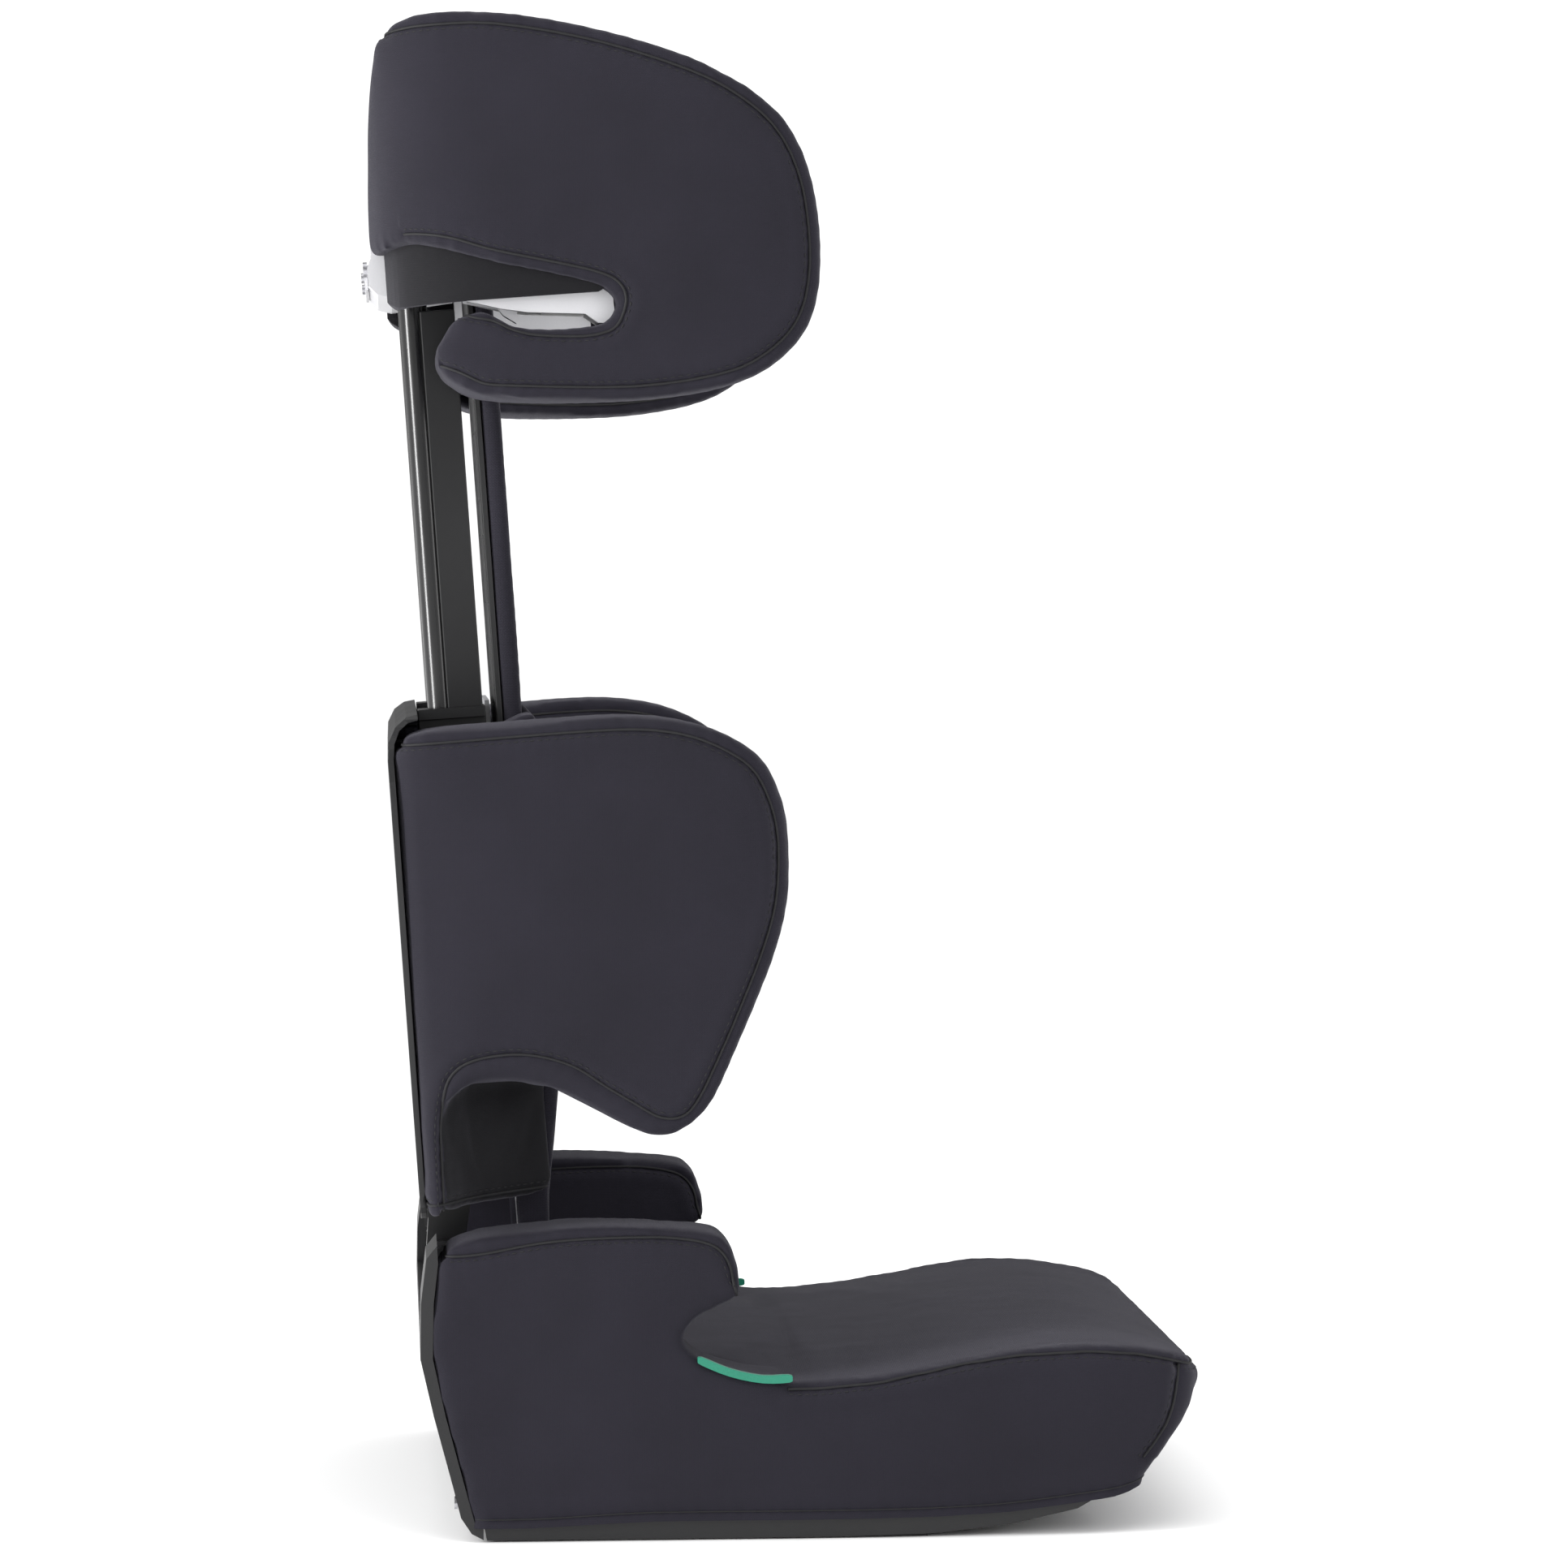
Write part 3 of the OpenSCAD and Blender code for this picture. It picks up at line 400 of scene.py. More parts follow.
def level_lines(obj, value, counts, level):
    """Chains of (point, normal) where a value kept on the vertices crosses a level."""
    mesh = obj.data
    co, n = coordinates(obj), normals(obj)
    ends = np.empty(len(mesh.edges) * 2, np.int32)
    mesh.edges.foreach_get("vertices", ends)
    a, b = ends.reshape(-1, 2).T
    crossed = ((value[a] > level) != (value[b] > level)) & counts[a] & counts[b]
    crossed &= (np.abs(value[a] - level) < 12) & (np.abs(value[b] - level) < 12)
    share = np.where(crossed, (level - value[a]) / np.where(crossed, value[b] - value[a], 1), 0)[:, None]
    points = co[a] * (1 - share) + co[b] * share
    ways = n[a] * (1 - share) + n[b] * share
    loop_edges = np.empty(len(mesh.loops), np.int32)
    mesh.loops.foreach_get("edge_index", loop_edges)
    starts = np.empty(len(mesh.polygons), np.int32)
    mesh.polygons.foreach_get("loop_start", starts)
    totals = np.empty(len(mesh.polygons), np.int32)
    mesh.polygons.foreach_get("loop_total", totals)
    hits = np.add.reduceat(crossed[loop_edges].astype(int), starts)
    links = defaultdict(list)
    for p in np.nonzero(hits == 2)[0]:
        e = [int(k) for k in loop_edges[starts[p]:starts[p] + totals[p]] if crossed[k]]
        links[e[0]].append(e[1])
        links[e[1]].append(e[0])
    chains, used = [], set()
    for start in sorted(links, key=lambda e: (len(links[e]), e)):
        if start in used:
            continue
        chain = [start]
        used.add(start)
        while True:
            onward = [e for e in links[chain[-1]] if e not in used]
            if not onward:
                break
            chain.append(onward[0])
            used.add(onward[0])
        if len(chain) > 6:
            closed = chain[0] in links[chain[-1]]
            if closed:
                chain.append(chain[0])
            chains.append(even_out(points[chain], ways[chain]))
    return chains


def even_out(points, ways, step=2.4, passes=4):
    """A chain smoothed and spaced evenly."""
    for _ in range(passes):
        points[1:-1] = (points[:-2] + points[1:-1] * 2 + points[2:]) / 4
    run = np.concatenate([[0], np.cumsum(np.linalg.norm(np.diff(points, axis=0), axis=1))])
    count = max(3, int(run[-1] / (step * MM)))
    at = np.linspace(0, run[-1], count)
    points = np.stack([np.interp(at, run, points[:, k]) for k in range(3)], 1)
    ways = np.stack([np.interp(at, run, ways[:, k]) for k in range(3)], 1)
    return points, ways / np.maximum(np.linalg.norm(ways, axis=1, keepdims=True), 1e-9)


def run_cords(name, runs):
    """Thin round cords along several chains, as one mesh; each run is (points, ways, radius, lift)."""
    curve = bpy.data.curves.new(name, "CURVE")
    curve.dimensions = "3D"
    curve.bevel_depth = 1.0
    curve.bevel_resolution = 1
    curve.use_fill_caps = True
    for points, ways, radius, lift in runs:
        spline = curve.splines.new("POLY")
        spline.points.add(len(points) - 1)
        for place, p, w in zip(spline.points, points, ways):
            place.co = (*(p + w * lift * MM), 1)
            place.radius = radius * MM
    obj = bpy.data.objects.new(name, curve)
    bpy.context.scene.collection.objects.link(obj)
    mesh = bpy.data.meshes.new_from_object(obj.evaluated_get(bpy.context.evaluated_depsgraph_get()))
    discard(obj)
    piece = bpy.data.objects.new(name, mesh)
    bpy.context.scene.collection.objects.link(piece)
    return piece


def run_stitches(name, chains, pitch=4.4, length=2.9, width=0.42):
    """Rows of sewn stitches, each a small rounded grain of thread that dips at both ends."""
    bm = bmesh.new()
    bmesh.ops.create_uvsphere(bm, u_segments=6, v_segments=4, radius=1)
    bmesh.ops.recalc_face_normals(bm, faces=bm.faces[:])
    grain = bpy.data.meshes.new("grain")
    bm.to_mesh(grain)
    bm.clear()
    for points, ways in chains:
        run = np.concatenate([[0], np.cumsum(np.linalg.norm(np.diff(points, axis=0), axis=1))])
        for at in np.arange(pitch / 2 * MM, run[-1], pitch * MM):
            p, w = (Vector(np.interp(at, run, values[:, k]) for k in range(3)) for values in (points, ways))
            ahead = Vector(np.interp(min(at + MM, run[-1]), run, points[:, k]) for k in range(3))
            along = ahead - p
            along = (along - w * along.dot(w)).normalized()
            beside = w.cross(along)
            turn = Matrix((along, beside, w)).transposed().to_4x4()
            size = Matrix.Diagonal((length / 2 * MM, width * MM, width * 0.8 * MM, 1))
            stitch = grain.copy()
            stitch.transform(Matrix.Translation(p + w * 0.12 * MM) @ turn @ size)
            bm.from_mesh(stitch)
            bpy.data.meshes.remove(stitch)
    bpy.data.meshes.remove(grain)
    return make_object(name, bm)


def sew(name, obj, seams):
    """The cord that shows in each seam, and the rows of stitches beside it."""
    co = coordinates(obj)
    cords, rows = [], []
    for seam in seams:
        signed, _, counts = seam.field(co)
        for points, ways in level_lines(obj, signed, counts, 0.0):
            cords.append((points, ways, seam.cord, 0.35))
        for level in seam.rows:
            rows.extend(level_lines(obj, signed, counts, level))
    made = []
    if cords:
        made.append(run_cords(name + "_seams", cords))
    if rows:
        made.append(run_stitches(name + "_stitching", rows))
    return made


def weave_map(obj):
    """A map in metres, laid on each face from the axis that it faces most, for the knit to follow."""
    mesh = obj.data
    layer = mesh.uv_layers.get("weave") or mesh.uv_layers.new(name="weave")
    co = coordinates(obj)
    corner = np.empty(len(mesh.loops), np.int32)
    mesh.loops.foreach_get("vertex_index", corner)
    facing = np.empty(len(mesh.polygons) * 3, np.float32)
    mesh.polygons.foreach_get("normal", facing)
    axis = np.argmax(np.abs(facing.reshape(-1, 3)) * (1.0, 0.9, 0.95), axis=1)
    totals = np.empty(len(mesh.polygons), np.int32)
    mesh.polygons.foreach_get("loop_total", totals)
    axis = np.repeat(axis, totals)
    place = co[corner]
    u = np.where(axis == 0, place[:, 1], place[:, 0])
    v = np.where(axis == 2, place[:, 1], place[:, 2])
    layer.data.foreach_set("uv", np.stack([u, v], 1).astype(np.float32).ravel())
    layer.active = True


def place_soft(obj, extras, name, body, place, finish):
    """Puts a padded piece and its sewing in their place, with a map and a finish."""
    obj.name = name
    obj.data.name = name
    for piece in extras:
        piece.data.transform(place)
        dress(piece, thread)
        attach(piece, body)
    obj.data.transform(place)
    obj.data.shade_smooth()
    obj.data.set_sharp_from_angle(angle=math.radians(55))
    weave_map(obj)
    dress(obj, finish)
    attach(obj, body)


def finish_soft(obj, name, body, place, finish, replaced, seams):
    """Adds the sew marks and the finish to a padded piece, which then stands for its plain solids."""
    place_soft(obj, sew(name, obj, seams), name, body, place, finish)
    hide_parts(*replaced)


def soften(form, seams, voxel, smoothing, cap, fixed=None, pressure=4.0, rumple_height=0.45):
    """Turns a hard form into a padded piece that swells between its seams."""
    remesh(form, voxel, smoothing)
    co = coordinates(form)
    held = np.zeros(len(co))
    for seam in seams:
        signed, _, counts = seam.field(co)
        held = np.maximum(held, np.where(counts, np.clip(1.6 - np.abs(signed) / 4.0, 0, 1), 0))
    if fixed is not None:
        held = np.maximum(held, fixed(co / MM))
    swell(form, held, cap, pressure)
    subdivide(form)
    rumple(form, rumple_height)
    pull_in(form, seams)
    return form


# ------------------------------------------------------------------ finishes


class Nodes:
    """Short hand for building a finish out of nodes."""

    def __init__(self, name):
        self.material = bpy.data.materials.new(name)
        self.material.use_nodes = True
        self.tree = self.material.node_tree
        self.bsdf = self.tree.nodes["Principled BSDF"]

    def add(self, kind, **settings):
        node = self.tree.nodes.new(kind)
        for key, value in settings.items():
            setattr(node, key, value)
        return node

    def link(self, out, into):
        self.tree.links.new(out, into)

    def math(self, operation, a, b=None):
        node = self.add("ShaderNodeMath", operation=operation)
        for socket, value in zip(node.inputs, (a, b)):
            if isinstance(value, (int, float)):
                socket.default_value = value
            elif value is not None:
                self.link(value, socket)
        return node.outputs[0]

    def noise(self, scale, detail=3.0, rough=0.5, vector=None):
        node = self.add("ShaderNodeTexNoise")
        node.inputs["Scale"].default_value = scale
        node.inputs["Detail"].default_value = detail
        node.inputs["Roughness"].default_value = rough
        self.link(vector or self.place(), node.inputs["Vector"])
        return node.outputs["Fac"]

    def place(self):
        if not hasattr(self, "where"):
            self.where = self.add("ShaderNodeTexCoord")
        return self.where.outputs["Object"]

    def ramp(self, fac, stops):
        """A colour ramp; stops are (position, colour)."""
        node = self.add("ShaderNodeValToRGB")
        elements = node.color_ramp.elements
        while len(elements) < len(stops):
            elements.new(0.5)
        for element, (at, colour) in zip(elements, stops):
            element.position = at
            element.color = (*colour, 1)
        self.link(fac, node.inputs["Fac"])
        return node.outputs["Color"]

    def spread(self, fac, low, high, to_low, to_high):
        node = self.add("ShaderNodeMapRange")
        for socket, value in zip(list(node.inputs)[1:5], (low, high, to_low, to_high)):
            socket.default_value = value
        self.link(fac, node.inputs[0])
        return node.outputs[0]

    def bump(self, height, strength, distance):
        node = self.add("ShaderNodeBump")
        node.inputs["Strength"].default_value = strength
        node.inputs["Distance"].default_value = distance * MM
        self.link(height, node.inputs["Height"])
        if self.bsdf.inputs["Normal"].is_linked:
            self.link(self.bsdf.inputs["Normal"].links[0].from_socket, node.inputs["Normal"])
        self.link(node.outputs["Normal"], self.bsdf.inputs["Normal"])

    def set(self, **values):
        for key, value in values.items():
            socket = self.bsdf.inputs[key.replace("_", " ")]
            if isinstance(value, bpy.types.NodeSocket):
                self.link(value, socket)
            else:
                socket.default_value = value


def knit(name, dark, light, wale=1.25, course=1.0, depth=0.22):
    """Close stretch knit: columns of small slanted loops, slightly uneven in tone, with painted shade in the
    hollows between the loops.
    """
    n = Nodes(name)
    uv = n.add("ShaderNodeUVMap", uv_map="weave")
    split = n.add("ShaderNodeSeparateXYZ")
    n.link(uv.outputs["UV"], split.inputs["Vector"])
    wander = n.math("MULTIPLY", n.math("SUBTRACT", n.noise(90, 2), 0.5), 0.0012)
    u = n.math("ADD", split.outputs["X"], wander)
    column = n.math("PINGPONG", n.math("DIVIDE", u, wale * MM), 0.5)
    slant = n.math("MULTIPLY", column, 1.3)
    row = n.math("FRACT", n.math("ADD", n.math("DIVIDE", split.outputs["Y"], course * MM), slant))
    loop = n.math("SINE", n.math("MULTIPLY", row, math.pi))
    crown = n.math("SINE", n.math("MULTIPLY", column, 2 * math.pi))
    height = n.math("MULTIPLY", loop, n.math("ADD", n.math("MULTIPLY", crown, 0.65), 0.35))
    yarn = n.noise(2600, 2, 0.6)
    blotch = n.noise(14, 3, 0.55)
    # Colour: loop height paints shade into the hollows between loops; yarn and blotch noise are the yarn's own
    # uneven tone.
    shade = n.math("ADD", n.math("MULTIPLY", height, 0.30), n.math("MULTIPLY", yarn, 0.34))
    shade = n.math("ADD", shade, n.math("MULTIPLY", blotch, 0.36))
    n.set(
        Base_Color=n.ramp(shade, [(0.25, dark), (0.8, light)]),
        Roughness=n.spread(yarn, 0.3, 0.7, 0.78, 0.92),
        Specular_IOR_Level=0.28,
        Sheen_Weight=0.10,
        Sheen_Roughness=0.42,
        Sheen_Tint=(0.78, 0.76, 0.9, 1),
    )
    n.bump(n.noise(45, 3, 0.6), 0.12, 1.2)
    n.bump(height, 0.5, depth)
    return n.material


def spark_plastic(name, dark, light, rough, grain=1900, depth=0.12):
    """Moulded plastic with a fine eroded grain and faint flow marks."""
    n = Nodes(name)
    grains = n.noise(grain, 2, 0.6)
    flow = n.noise(9, 4, 0.6)
    shade = n.math("ADD", n.math("MULTIPLY", grains, 0.4), n.math("MULTIPLY", flow, 0.6))
    unevenness = n.math("ADD", n.math("MULTIPLY", grains, 0.5), n.math("MULTIPLY", flow, 0.5))
    n.set(
        Base_Color=n.ramp(shade, [(0.3, dark), (0.75, light)]),
        Roughness=n.spread(unevenness, 0.3, 0.7, rough - 0.06, rough + 0.1),
        Specular_IOR_Level=0.5,
    )
    n.bump(flow, 0.05, 1.5)
    n.bump(grains, 0.35, depth)
    return n.material


def satin_metal(name, dark, light, rough, metallic, coat=0.0, along=(1, 1, 1)):
    """Plated or painted steel, with faint drawing lines along its length."""
    n = Nodes(name)
    stretch = n.add("ShaderNodeMapping")
    stretch.inputs["Scale"].default_value = along
    n.link(n.place(), stretch.inputs["Vector"])
    lines = n.noise(420, 3, 0.6, stretch.outputs["Vector"])
    cloud = n.noise(25, 3)
    shade = n.math("ADD", n.math("MULTIPLY", lines, 0.5), n.math("MULTIPLY", cloud, 0.5))
    n.set(
        Base_Color=n.ramp(shade, [(0.3, dark), (0.75, light)]),
        Metallic=metallic,
        Roughness=n.spread(shade, 0.3, 0.7, rough - 0.05, rough + 0.08),
        Coat_Weight=coat,
        Coat_Roughness=0.15,
    )
    n.bump(lines, 0.12, 0.05)
    return n.material


def open_foam(name, dark, light):
    n = Nodes(name)
    cells = n.add("ShaderNodeTexVoronoi", feature="SMOOTH_F1")
    cells.inputs["Scale"].default_value = 900
    n.link(n.place(), cells.inputs["Vector"])
    n.set(Base_Color=n.ramp(cells.outputs["Distance"], [(0.1, dark), (0.6, light)]), Roughness=0.95)
    n.bump(cells.outputs["Distance"], 0.6, 0.4)
    return n.material


def dress(obj, finish):
    """Gives an object one finish on all of its slots."""
    if obj.data.materials:
        for slot in obj.material_slots:
            slot.material = finish
    else:
        obj.data.materials.append(finish)


charcoal_knit = knit("charcoal_knit", (0.0066, 0.0058, 0.0102), (0.0160, 0.0143, 0.0238))
panel_knit = knit(
    "panel_knit", (0.0075, 0.0067, 0.0112), (0.0178, 0.0160, 0.0258), wale=1.9, course=1.5, depth=0.34
)
# Knit of the slot lining, darkened to paint the shade inside the recessed belt slot.
slot_shade_cloth = knit("slot_shade_cloth", (0.0030, 0.0029, 0.0040), (0.0064, 0.0061, 0.0083), depth=0.1)
flank_cloth = knit("flank_cloth", (0.0026, 0.0025, 0.0034), (0.0056, 0.0054, 0.0072), depth=0.12)
thread = satin_metal("thread", (0.004, 0.004, 0.005), (0.008, 0.0078, 0.010), 0.7, 0.0)
black_shell = spark_plastic("black_shell", (0.005, 0.005, 0.006), (0.011, 0.011, 0.012), 0.42)
black_fittings = spark_plastic(
    "black_fittings", (0.004, 0.004, 0.0045), (0.008, 0.008, 0.009), 0.34, 2600, 0.05
)
light_grey_plastic = spark_plastic(
    "light_grey_plastic", (0.52, 0.52, 0.54), (0.62, 0.62, 0.64), 0.36, 2400, 0.04
)
black_steel = satin_metal(
    "black_steel", (0.003, 0.003, 0.0035), (0.006, 0.006, 0.0065), 0.22, 0.0, 0.4, (1, 1, 0.04)
)
zinc_steel = satin_metal("zinc_steel", (0.42, 0.42, 0.45), (0.62, 0.62, 0.64), 0.3, 1.0)
green_plastic = spark_plastic("green_plastic", (0.004, 0.15, 0.09), (0.009, 0.22, 0.135), 0.28, 2400, 0.03)
grip_rubber = spark_plastic("grip_rubber", (0.018, 0.018, 0.018), (0.03, 0.03, 0.03), 0.75, 1500, 0.15)
foam = open_foam("foam", (0.08, 0.08, 0.09), (0.16, 0.16, 0.17))
FINISHES = {
    "black_shell": black_shell, "black_fittings": black_fittings, "light_grey_plastic": light_grey_plastic,
    "charcoal_knit": charcoal_knit, "padded_knit": panel_knit, "foam": foam, "black_steel": black_steel,
    "zinc_steel": zinc_steel, "green_plastic": green_plastic, "grip_rubber": grip_rubber,
}


# Radius of the moulded edges of each fitting.
EDGED = {
    "base_shell": 0.7, "rear_trim": 0.9, "back_shell": 0.8,
    "rail_channel_left": 0.7, "rail_channel_right": 0.7,
    "rail_carriage": 0.8, "hinge_hook_left": 0.8, "hinge_hook_right": 0.8, "release_handle": 1.2,
    "headrest_shell": 0.6, "bracket_cover": 0.5, "shoulder_belt_guide_left": 0.7,
    "shoulder_belt_guide_right": 0.7, "lap_belt_guide_left": 0.9, "lap_belt_guide_right": 0.9,
    "rail_guide_left": 0.7, "rail_guide_right": 0.7, "support_board": 0.6,
}


def round_edges(node, width):
    """Small moulded radii along the sharp edges of a fitting."""
    weld = node.modifiers.new("weld", "WELD")
    weld.merge_threshold = 0.02 * MM
    bevel = node.modifiers.new("radii", "BEVEL")
    bevel.width = width * MM
    bevel.segments = 2
    bevel.limit_method = "ANGLE"
    bevel.angle_limit = math.radians(42)
    bevel.use_clamp_overlap = True


def dress_fittings():
    """Gives every node of the frame the finish that its slot names, and softens its moulded edges."""
    slots = {s["node"]: s["material_slot"] for s in frame["record"]["subparts"]}
    for name, node in frame["nodes"].items():
        dress(node, FINISHES[slots[name]])
        if name in EDGED:
            round_edges(node, EDGED[name])


dress_fittings()

# ------------------------------------------------------------------ covers


def make_headrest():
    """Fabric over foam round the whole headrest, with the belt slots open."""
    form = prism(smooth_line(HEAD_SIDE, 4), "side", -212, 212)
    ring = prism(smooth_line(mirrored(HEAD_OUTER), 4), "plan", 600, 880)
    combine(ring, prism(smooth_line(mirrored(HEAD_INNER), 4), "plan", 590, 890), "DIFFERENCE")
    combine(form, ring, "INTERSECT")
    combine(form, prism(BRACKET_SIDE, "side", -104.5, 104.5), "DIFFERENCE")
    combine(form, block((-104.5, 130, 685), (104.5, 200, 700.5)), "DIFFERENCE")
    combine(form, block((-53, 155, 741), (53, 205, 805)), "DIFFERENCE")
    combine(form, block((-92, 181, 735), (92, 205, 812)), "DIFFERENCE")
    combine(form, block((-99, 117, 685), (99, 142, 730.5)), "DIFFERENCE")
    combine(form, block((-99, 100, 600), (99, 205, 691)), "DIFFERENCE")
    seams = [
        Seam(HEAD_RIM_SEAM, where=lambda co: (co[:, 1] < 155) | (co[:, 2] > 800)),
        Seam(
            HEAD_SLOT_SEAM, where=lambda co: (np.abs(co[:, 0]) > 185) | (co[:, 1] < 130),
            depth=1.1, rows=(-2.6,),
        ),
    ]

    def fixed(co):
        near_bracket = (np.abs(co[:, 0]) < 112) & (co[:, 1] > 112) & (co[:, 2] < 815)
        slot = (co[:, 1] > 48) & (co[:, 1] < 190) & (co[:, 2] > 664) & (co[:, 2] < 728)
        return np.where(near_bracket | slot, 1.0, 0.0)

    soften(form, seams, 4.2, 6, 4.5, fixed)
    finish_soft(
        form, "headrest_padding", "headrest", LEANED, charcoal_knit,
        ["headrest_cover", "headrest_foam"], seams,
    )


def make_slot_lining():
    """Smooth fabric that hangs in front of each belt guide from the roof of the slot, its dark colour painted
    shade of the recessed slot.
    """
    for side, name in ((1, "left"), (-1, "right")):
        low, high = sorted((side * 106, side * 212))
        lining = prism(smooth_line(SLOT_LINING, 3), "side", low, high)
        for share, operation in ((0.968, "INTERSECT"), (0.946, "DIFFERENCE")):
            plan = [(x * share, (y + 64) * share - 64) for x, y in mirrored(HEAD_OUTER)]
            combine(lining, prism(smooth_line(plan, 4), "plan", 600, 880), operation)
        edge = lining.modifiers.new("edge", "BEVEL")
        edge.width = 1.2 * MM
        edge.segments = 3
        edge.limit_method = "ANGLE"
        settle(lining)
        lining.name = "slot_lining_" + name
        lining.data.transform(LEANED)
        lining.data.shade_smooth()
        weave_map(lining)
        # Painted shade: the lining takes the darkened knit.
        dress(lining, slot_shade_cloth)
        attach(lining, "headrest")


def shade_flank(wing):
    """The smooth dark lining on the flank, below the arch of the wing."""
    upright = LEANED.inverted()
    wing.data.materials.append(flank_cloth)
    for face in wing.data.polygons:
        x, y, z = (upright @ face.center) / MM
        arch = np.interp(y, [100, 120, 142, 165, 178, 184.5], [238, 249, 256, 256, 249, 236])
        if 118 < y < 184.5 and z < arch:
            face.material_index = 1


def make_wings():
    """The two side wings of the backrest: the right one is the left one mirrored."""
    form = prism(smooth_line(WING_SIDE, 4), "side", 100, 235)
    combine(form, prism(smooth_line(WING_PLAN, 4), "plan", 170, 480), "INTERSECT")
    combine(form, prism(FLANK_PLAN, "plan", 186, 262), "UNION")
    seams = [
        Seam(WING_SEAM, where=lambda co: (np.abs(co[:, 0]) > 170) | (co[:, 2] > 300)),
        Seam([(120, 190.5), (200, 190.5)], where=lambda co: co[:, 1] > 118, depth=0.9, rows=(3.0,)),
    ]

    def fixed(co):
        rear = co[:, 1] > 185
        inner = (co[:, 0] < 166) & (co[:, 1] > 118)
        foot = co[:, 2] < 200
        return np.where(rear | inner | foot, 1.0, 0.0)

    soften(form, seams, 4.2, 6, 4.5, fixed)
    left, right = form, form.copy()
    right.data = form.data.copy()
    bpy.context.scene.collection.objects.link(right)
    for wing, side in ((left, "left"), (right, "right")):
        if side == "right":
            bm = bmesh.new()
            bm.from_mesh(wing.data)
            bmesh.ops.scale(bm, vec=(-1, 1, 1), verts=bm.verts[:])
            bmesh.ops.reverse_faces(bm, faces=bm.faces[:])
            bm.to_mesh(wing.data)
            bm.free()
        finish_soft(
            wing, "wing_padding_" + side, "backrest", LEANED, charcoal_knit,
            ["wing_cover_" + side, "wing_foam_" + side], seams,
        )
        shade_flank(wing)


def near_side(co):
    """Whether each point is near the outside of the base, seen from above."""
    plan = mirrored(BASE_PLAN)
    return np.abs(across(co[:, :2], plan + plan[:1])[0]) < 12


def reach_forward(objects, reach=8.0):
    """Lets the front roll of the cushion stand out over the moulding's front edge."""
    for obj in objects:
        co = coordinates(obj) / MM
        share = np.clip((-90 - co[:, 1]) / 130, 0, 1) * np.clip((co[:, 2] - 14) / 46, 0, 1)
        co[:, 1] -= reach * share
        set_coordinates(obj, co * MM)


def make_seat():
    """One fitted cover over cushion, side panels and armrests, hollow above the moulding."""
    form = prism(smooth_line(CUSHION_SIDE, 3), "side", -216, 216)
    combine(form, prism(CUSHION_FRONT, "front", -260, 260), "INTERSECT")
    for side in (-1, 1):
        low, high = sorted((side * 160, side * 216))
        combine(form, prism(smooth_line(ARMREST_SIDE, 3), "side", low, high), "UNION")
    combine(form, prism(mirrored(BASE_PLAN), "plan", -40, 200), "INTERSECT")
    above_hem = [(y, z + 5) for y, z in HEM]

    def on_front_corner(co):
        return (np.abs(co[:, 0]) > 165) & (co[:, 2] < 95) & (co[:, 2] > 41)

    seams = [
        Seam(CUSHION_SEAM, where=lambda co: near_side(co) & (co[:, 1] < 0)),
        Seam(FRONT_CORNER_SEAM, where=on_front_corner),
        Seam(ARMREST_SEAM, where=lambda co: (np.abs(co[:, 0]) > 158) & (co[:, 2] > 130)),
        Seam(above_hem, where=lambda co: np.abs(co[:, 0]) > 180, depth=0.5, rows=(), cord=0.4),
    ]

    def fixed(co):
        rear = np.clip((co[:, 1] - 140) / 15, 0, 1)
        foot = np.clip((34 - co[:, 2]) / 12, 0, 1)
        notch = (co[:, 1] > -2) & (co[:, 1] < 62) & (co[:, 2] > 84) & (co[:, 2] < 134)
        notch &= np.abs(co[:, 0]) > 156
        return np.maximum(np.maximum(rear, foot), notch * 0.8)

    soften(form, seams, 5.0, 5, 6.0, fixed)
    extras = sew("seat_padding", form, seams)
    reach_forward([form, *extras])
    hollow = prism(SHELL_SIDE, "side", -212.3, 212.3)
    inner_plan = [(x * 0.982, y + 4.2) for x, y in mirrored(BASE_PLAN)]
    combine(form, combine(hollow, prism(inner_plan, "plan", -30, 200), "INTERSECT"), "DIFFERENCE")
    combine(form, prism(HEM + [(215, -40), (-214, -40)], "side", -230, 230), "DIFFERENCE")
    place_soft(form, extras, "seat_padding", "base", PLACED, charcoal_knit)
    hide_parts("seat_cover", "seat_foam")


def on_pad_front(co):
    """The pad's front face, without the wall of the sleeve behind it."""
    return co[:, 1] < np.where(co[:, 2] > 252, 116.8, 127)


def make_back_pad():
    """The quilted pad of the backrest, with the sleeve that the bib drops into."""
    outline = [
        (115.5, 458), (113, 446), (111, 400), (110, 340), (112, 290), (116, 250), (121.5, 215), (126, 186),
        (138.2, 186), (138.2, 450), (124, 456),
    ]
    form = prism(outline, "side", -161.5, 161.5)
    flap = [(126, 190), (128.5, 150), (130, 126), (133.5, 118.5), (145, 118.5), (145, 188), (138.2, 189)]
    combine(form, prism(flap, "side", -157, 157), "UNION")
    combine(form, block((-146.4, 138.3, 100), (146.4, 150, 195)), "DIFFERENCE")
    combine(form, block((-102, 118.8, 254), (102, 150, 500)), "DIFFERENCE")

    def across_pad(co):
        return (np.abs(co[:, 0]) < 110) & on_pad_front(co)

    seams = [
        Seam([(-112, 175), (-112, 420), (-100, 436), (100, 436), (112, 420), (112, 175)], "front",
             where=on_pad_front, depth=1.8, rows=(-2.8, 2.8)),
        *(Seam([(-150, z), (150, z)], "front", where=across_pad, depth=1.8) for z in (372, 308, 244)),
    ]

    def fixed(co):
        sleeve = (np.abs(co[:, 0]) < 106) & (co[:, 2] > 250) & (co[:, 1] > 116.5)
        return np.where((co[:, 1] > 123) | (np.abs(co[:, 0]) > 158) | sleeve, 1.0, 0.0)

    soften(form, seams, 4.0, 3, 5.0, fixed)
    finish_soft(form, "back_padding", "backrest", LEANED, panel_knit, ["back_pad"], seams)


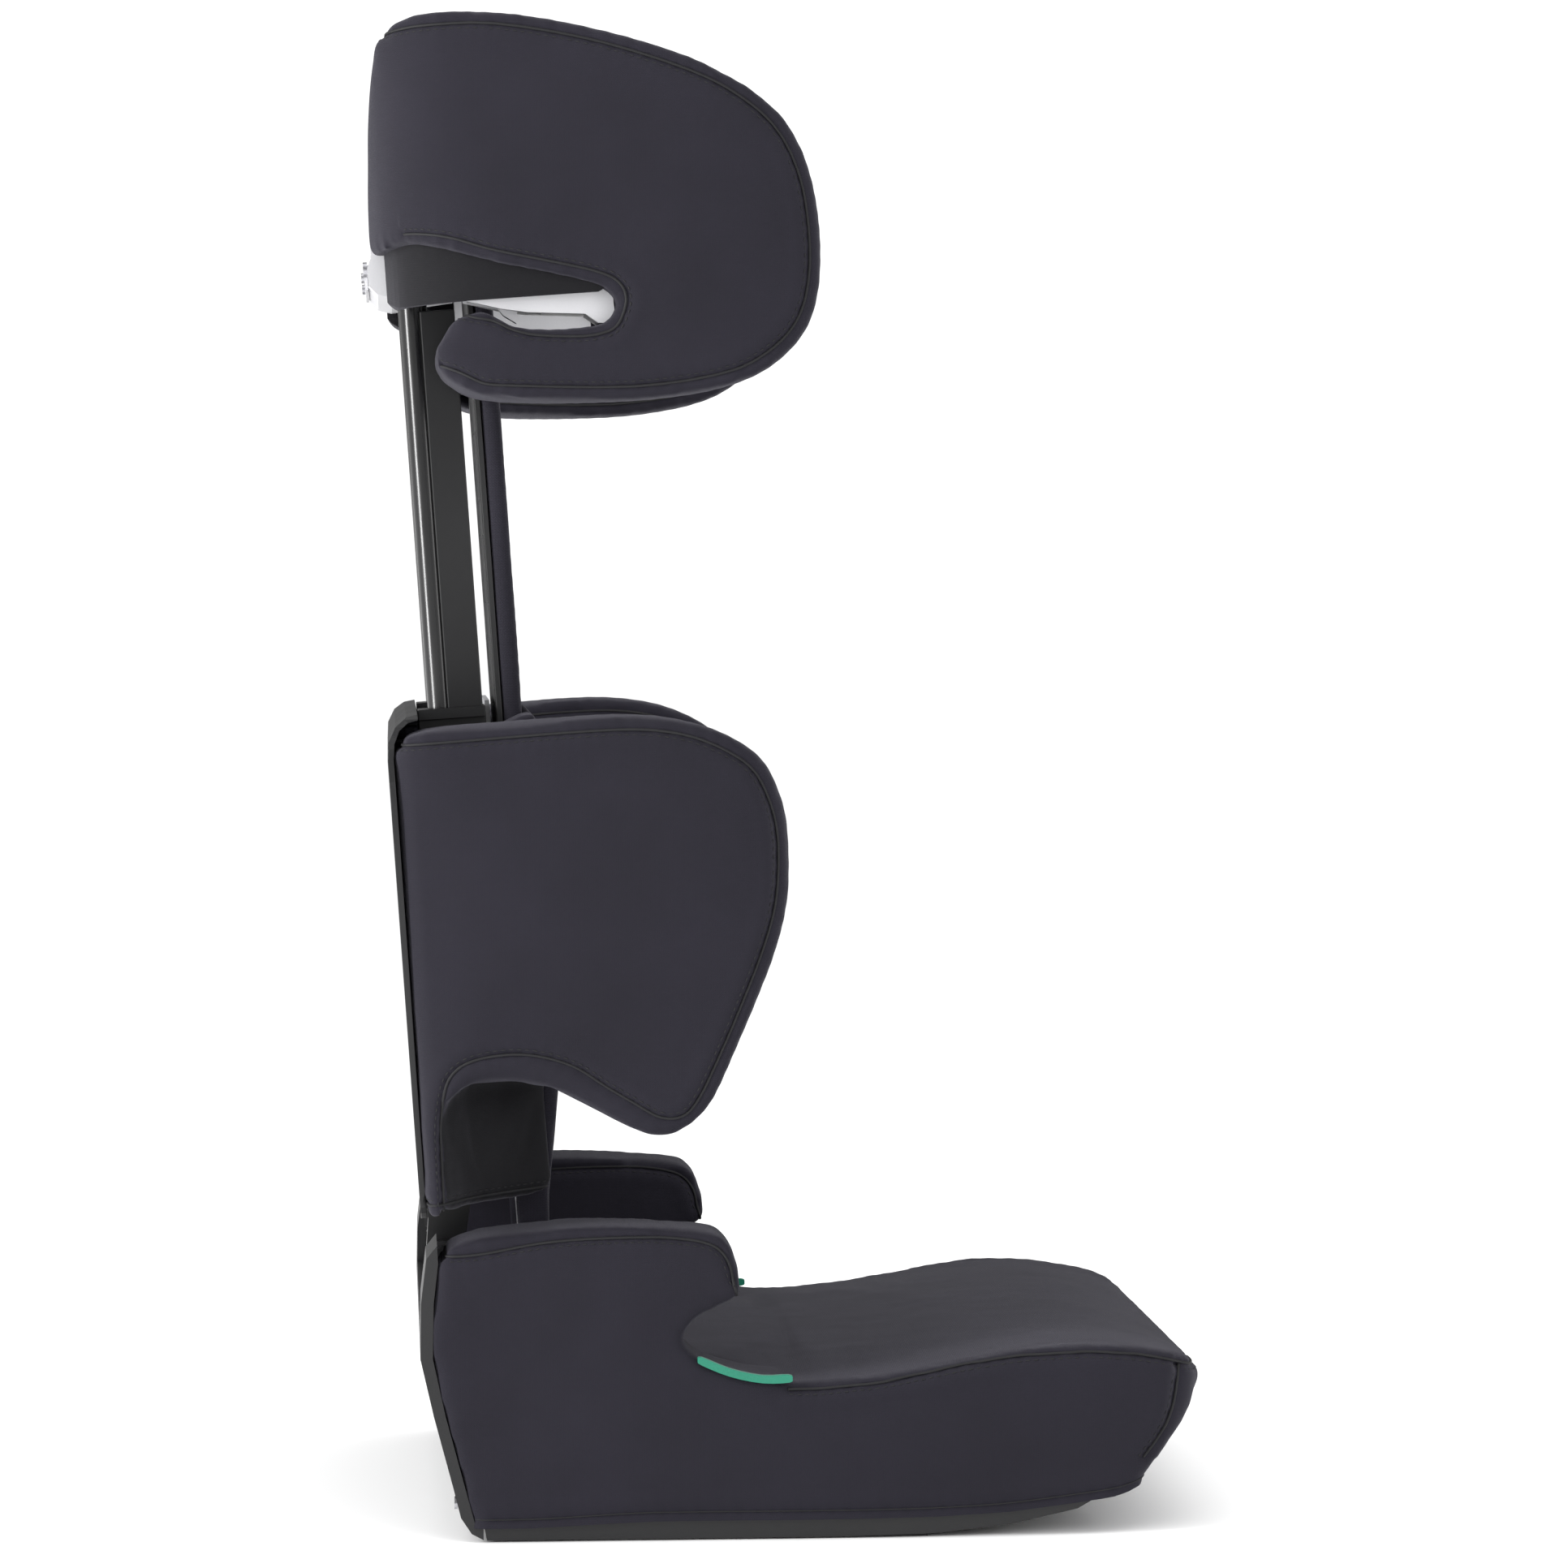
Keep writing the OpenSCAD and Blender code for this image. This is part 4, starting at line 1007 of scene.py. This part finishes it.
def make_bib():
    """The thin padded panel between headrest and backrest, which slides down with the headrest."""
    outline = [(131.6, 428), (131.6, 729), (121.4, 729), (121.2, 700), (121.2, 434), (123, 428)]
    form = prism(outline, "side", -97.5, 97.5)
    seams = [
        Seam([(-86, 400), (-86, 720)], "front", where=lambda co: co[:, 1] < 127, depth=1.2),
        Seam([(86, 400), (86, 720)], "front", where=lambda co: co[:, 1] < 127, depth=1.2, rows=(-2.8,)),
    ]

    def fixed(co):
        return np.where((co[:, 1] > 126) | (co[:, 2] > 690) | (co[:, 2] < 470), 1.0, 0.0)

    soften(form, seams, 3.4, 3, 1.2, fixed, rumple_height=0.2)
    finish_soft(form, "bib_padding", "headrest", LEANED, panel_knit, ["bib_pad"], seams)


def make_head_pad():
    """The round-cornered pad inside the headrest."""
    corner = 26
    half_w, low, high = 90, 731, 834
    plate = [(half_w, low), (half_w, high - corner), (half_w - 8, high - 8), (half_w - corner, high),
             (-half_w + corner, high), (-half_w + 8, high - 8), (-half_w, high - corner), (-half_w, low)]
    form = prism(smooth_line(plate, 4), "front", 119, 131.4)
    inner = [(x, y - 0.5) for x, y in mirrored(HEAD_INNER)]
    combine(form, prism(smooth_line(inner, 4), "plan", 700, 880), "INTERSECT")
    seams = [
        Seam([(-78, 700), (-78, 800), (-60, 822), (60, 822), (78, 800), (78, 700)], "front",
             where=lambda co: co[:, 1] < 128, depth=1.6),
    ]

    def fixed(co):
        return np.where(co[:, 1] > 130, 1.0, 0.0)

    soften(form, seams, 3.6, 4, 4.0, fixed)
    finish_soft(
        form, "head_padding", "headrest", LEANED, panel_knit, ["head_pad"], seams,
    )


make_headrest()
make_slot_lining()
make_wings()
make_seat()
make_back_pad()
make_bib()
make_head_pad()

# ------------------------------------------------------------------ studio


def add_floor():
    """A wide pale floor without any shine."""
    bm = bmesh.new()
    bmesh.ops.create_circle(bm, cap_ends=True, segments=64, radius=40)
    floor = make_object("floor", bm)
    n = Nodes("floor_paint")
    n.set(Base_Color=(0.9, 0.9, 0.9, 1), Roughness=1.0, Specular_IOR_Level=0.0)
    dress(floor, n.material)


def add_light(name, size, power, place, target, colour=(1, 1, 1)):
    data = bpy.data.lights.new(name, "AREA")
    data.shape = "RECTANGLE"
    data.size, data.size_y = size
    data.energy = power
    data.color = colour
    light = bpy.data.objects.new(name, data)
    light.location = place
    light.rotation_euler = (Vector(target) - Vector(place)).to_track_quat("-Z", "Y").to_euler()
    bpy.context.scene.collection.objects.link(light)


def add_studio():
    """Soft even light all round, weaker in reflections so that the dark plastics stay dark."""
    world = bpy.data.worlds.new("studio")
    world.use_nodes = True
    tree = world.node_tree
    background = tree.nodes["Background"]
    background.inputs["Color"].default_value = (1, 1, 1, 1)
    rays = tree.nodes.new("ShaderNodeLightPath")
    dimmer = tree.nodes.new("ShaderNodeMapRange")
    dimmer.inputs["To Min"].default_value = 1.14
    dimmer.inputs["To Max"].default_value = 0.4
    tree.links.new(rays.outputs["Is Glossy Ray"], dimmer.inputs["Value"])
    tree.links.new(dimmer.outputs["Result"], background.inputs["Strength"])
    bpy.context.scene.world = world
    bpy.context.scene.view_settings.view_transform = "Standard"
    middle = (0, 0, 0.42)
    add_light("top_softbox", (2.2, 2.2), 22, (-0.4, -0.3, 2.6), middle)
    add_light("side_softbox", (1.4, 2.0), 22, (-2.6, -1.8, 1.3), middle)
    add_light("rear_strip", (0.5, 2.0), 60, (-1.0, 2.2, 0.9), middle)


add_floor()
add_studio()
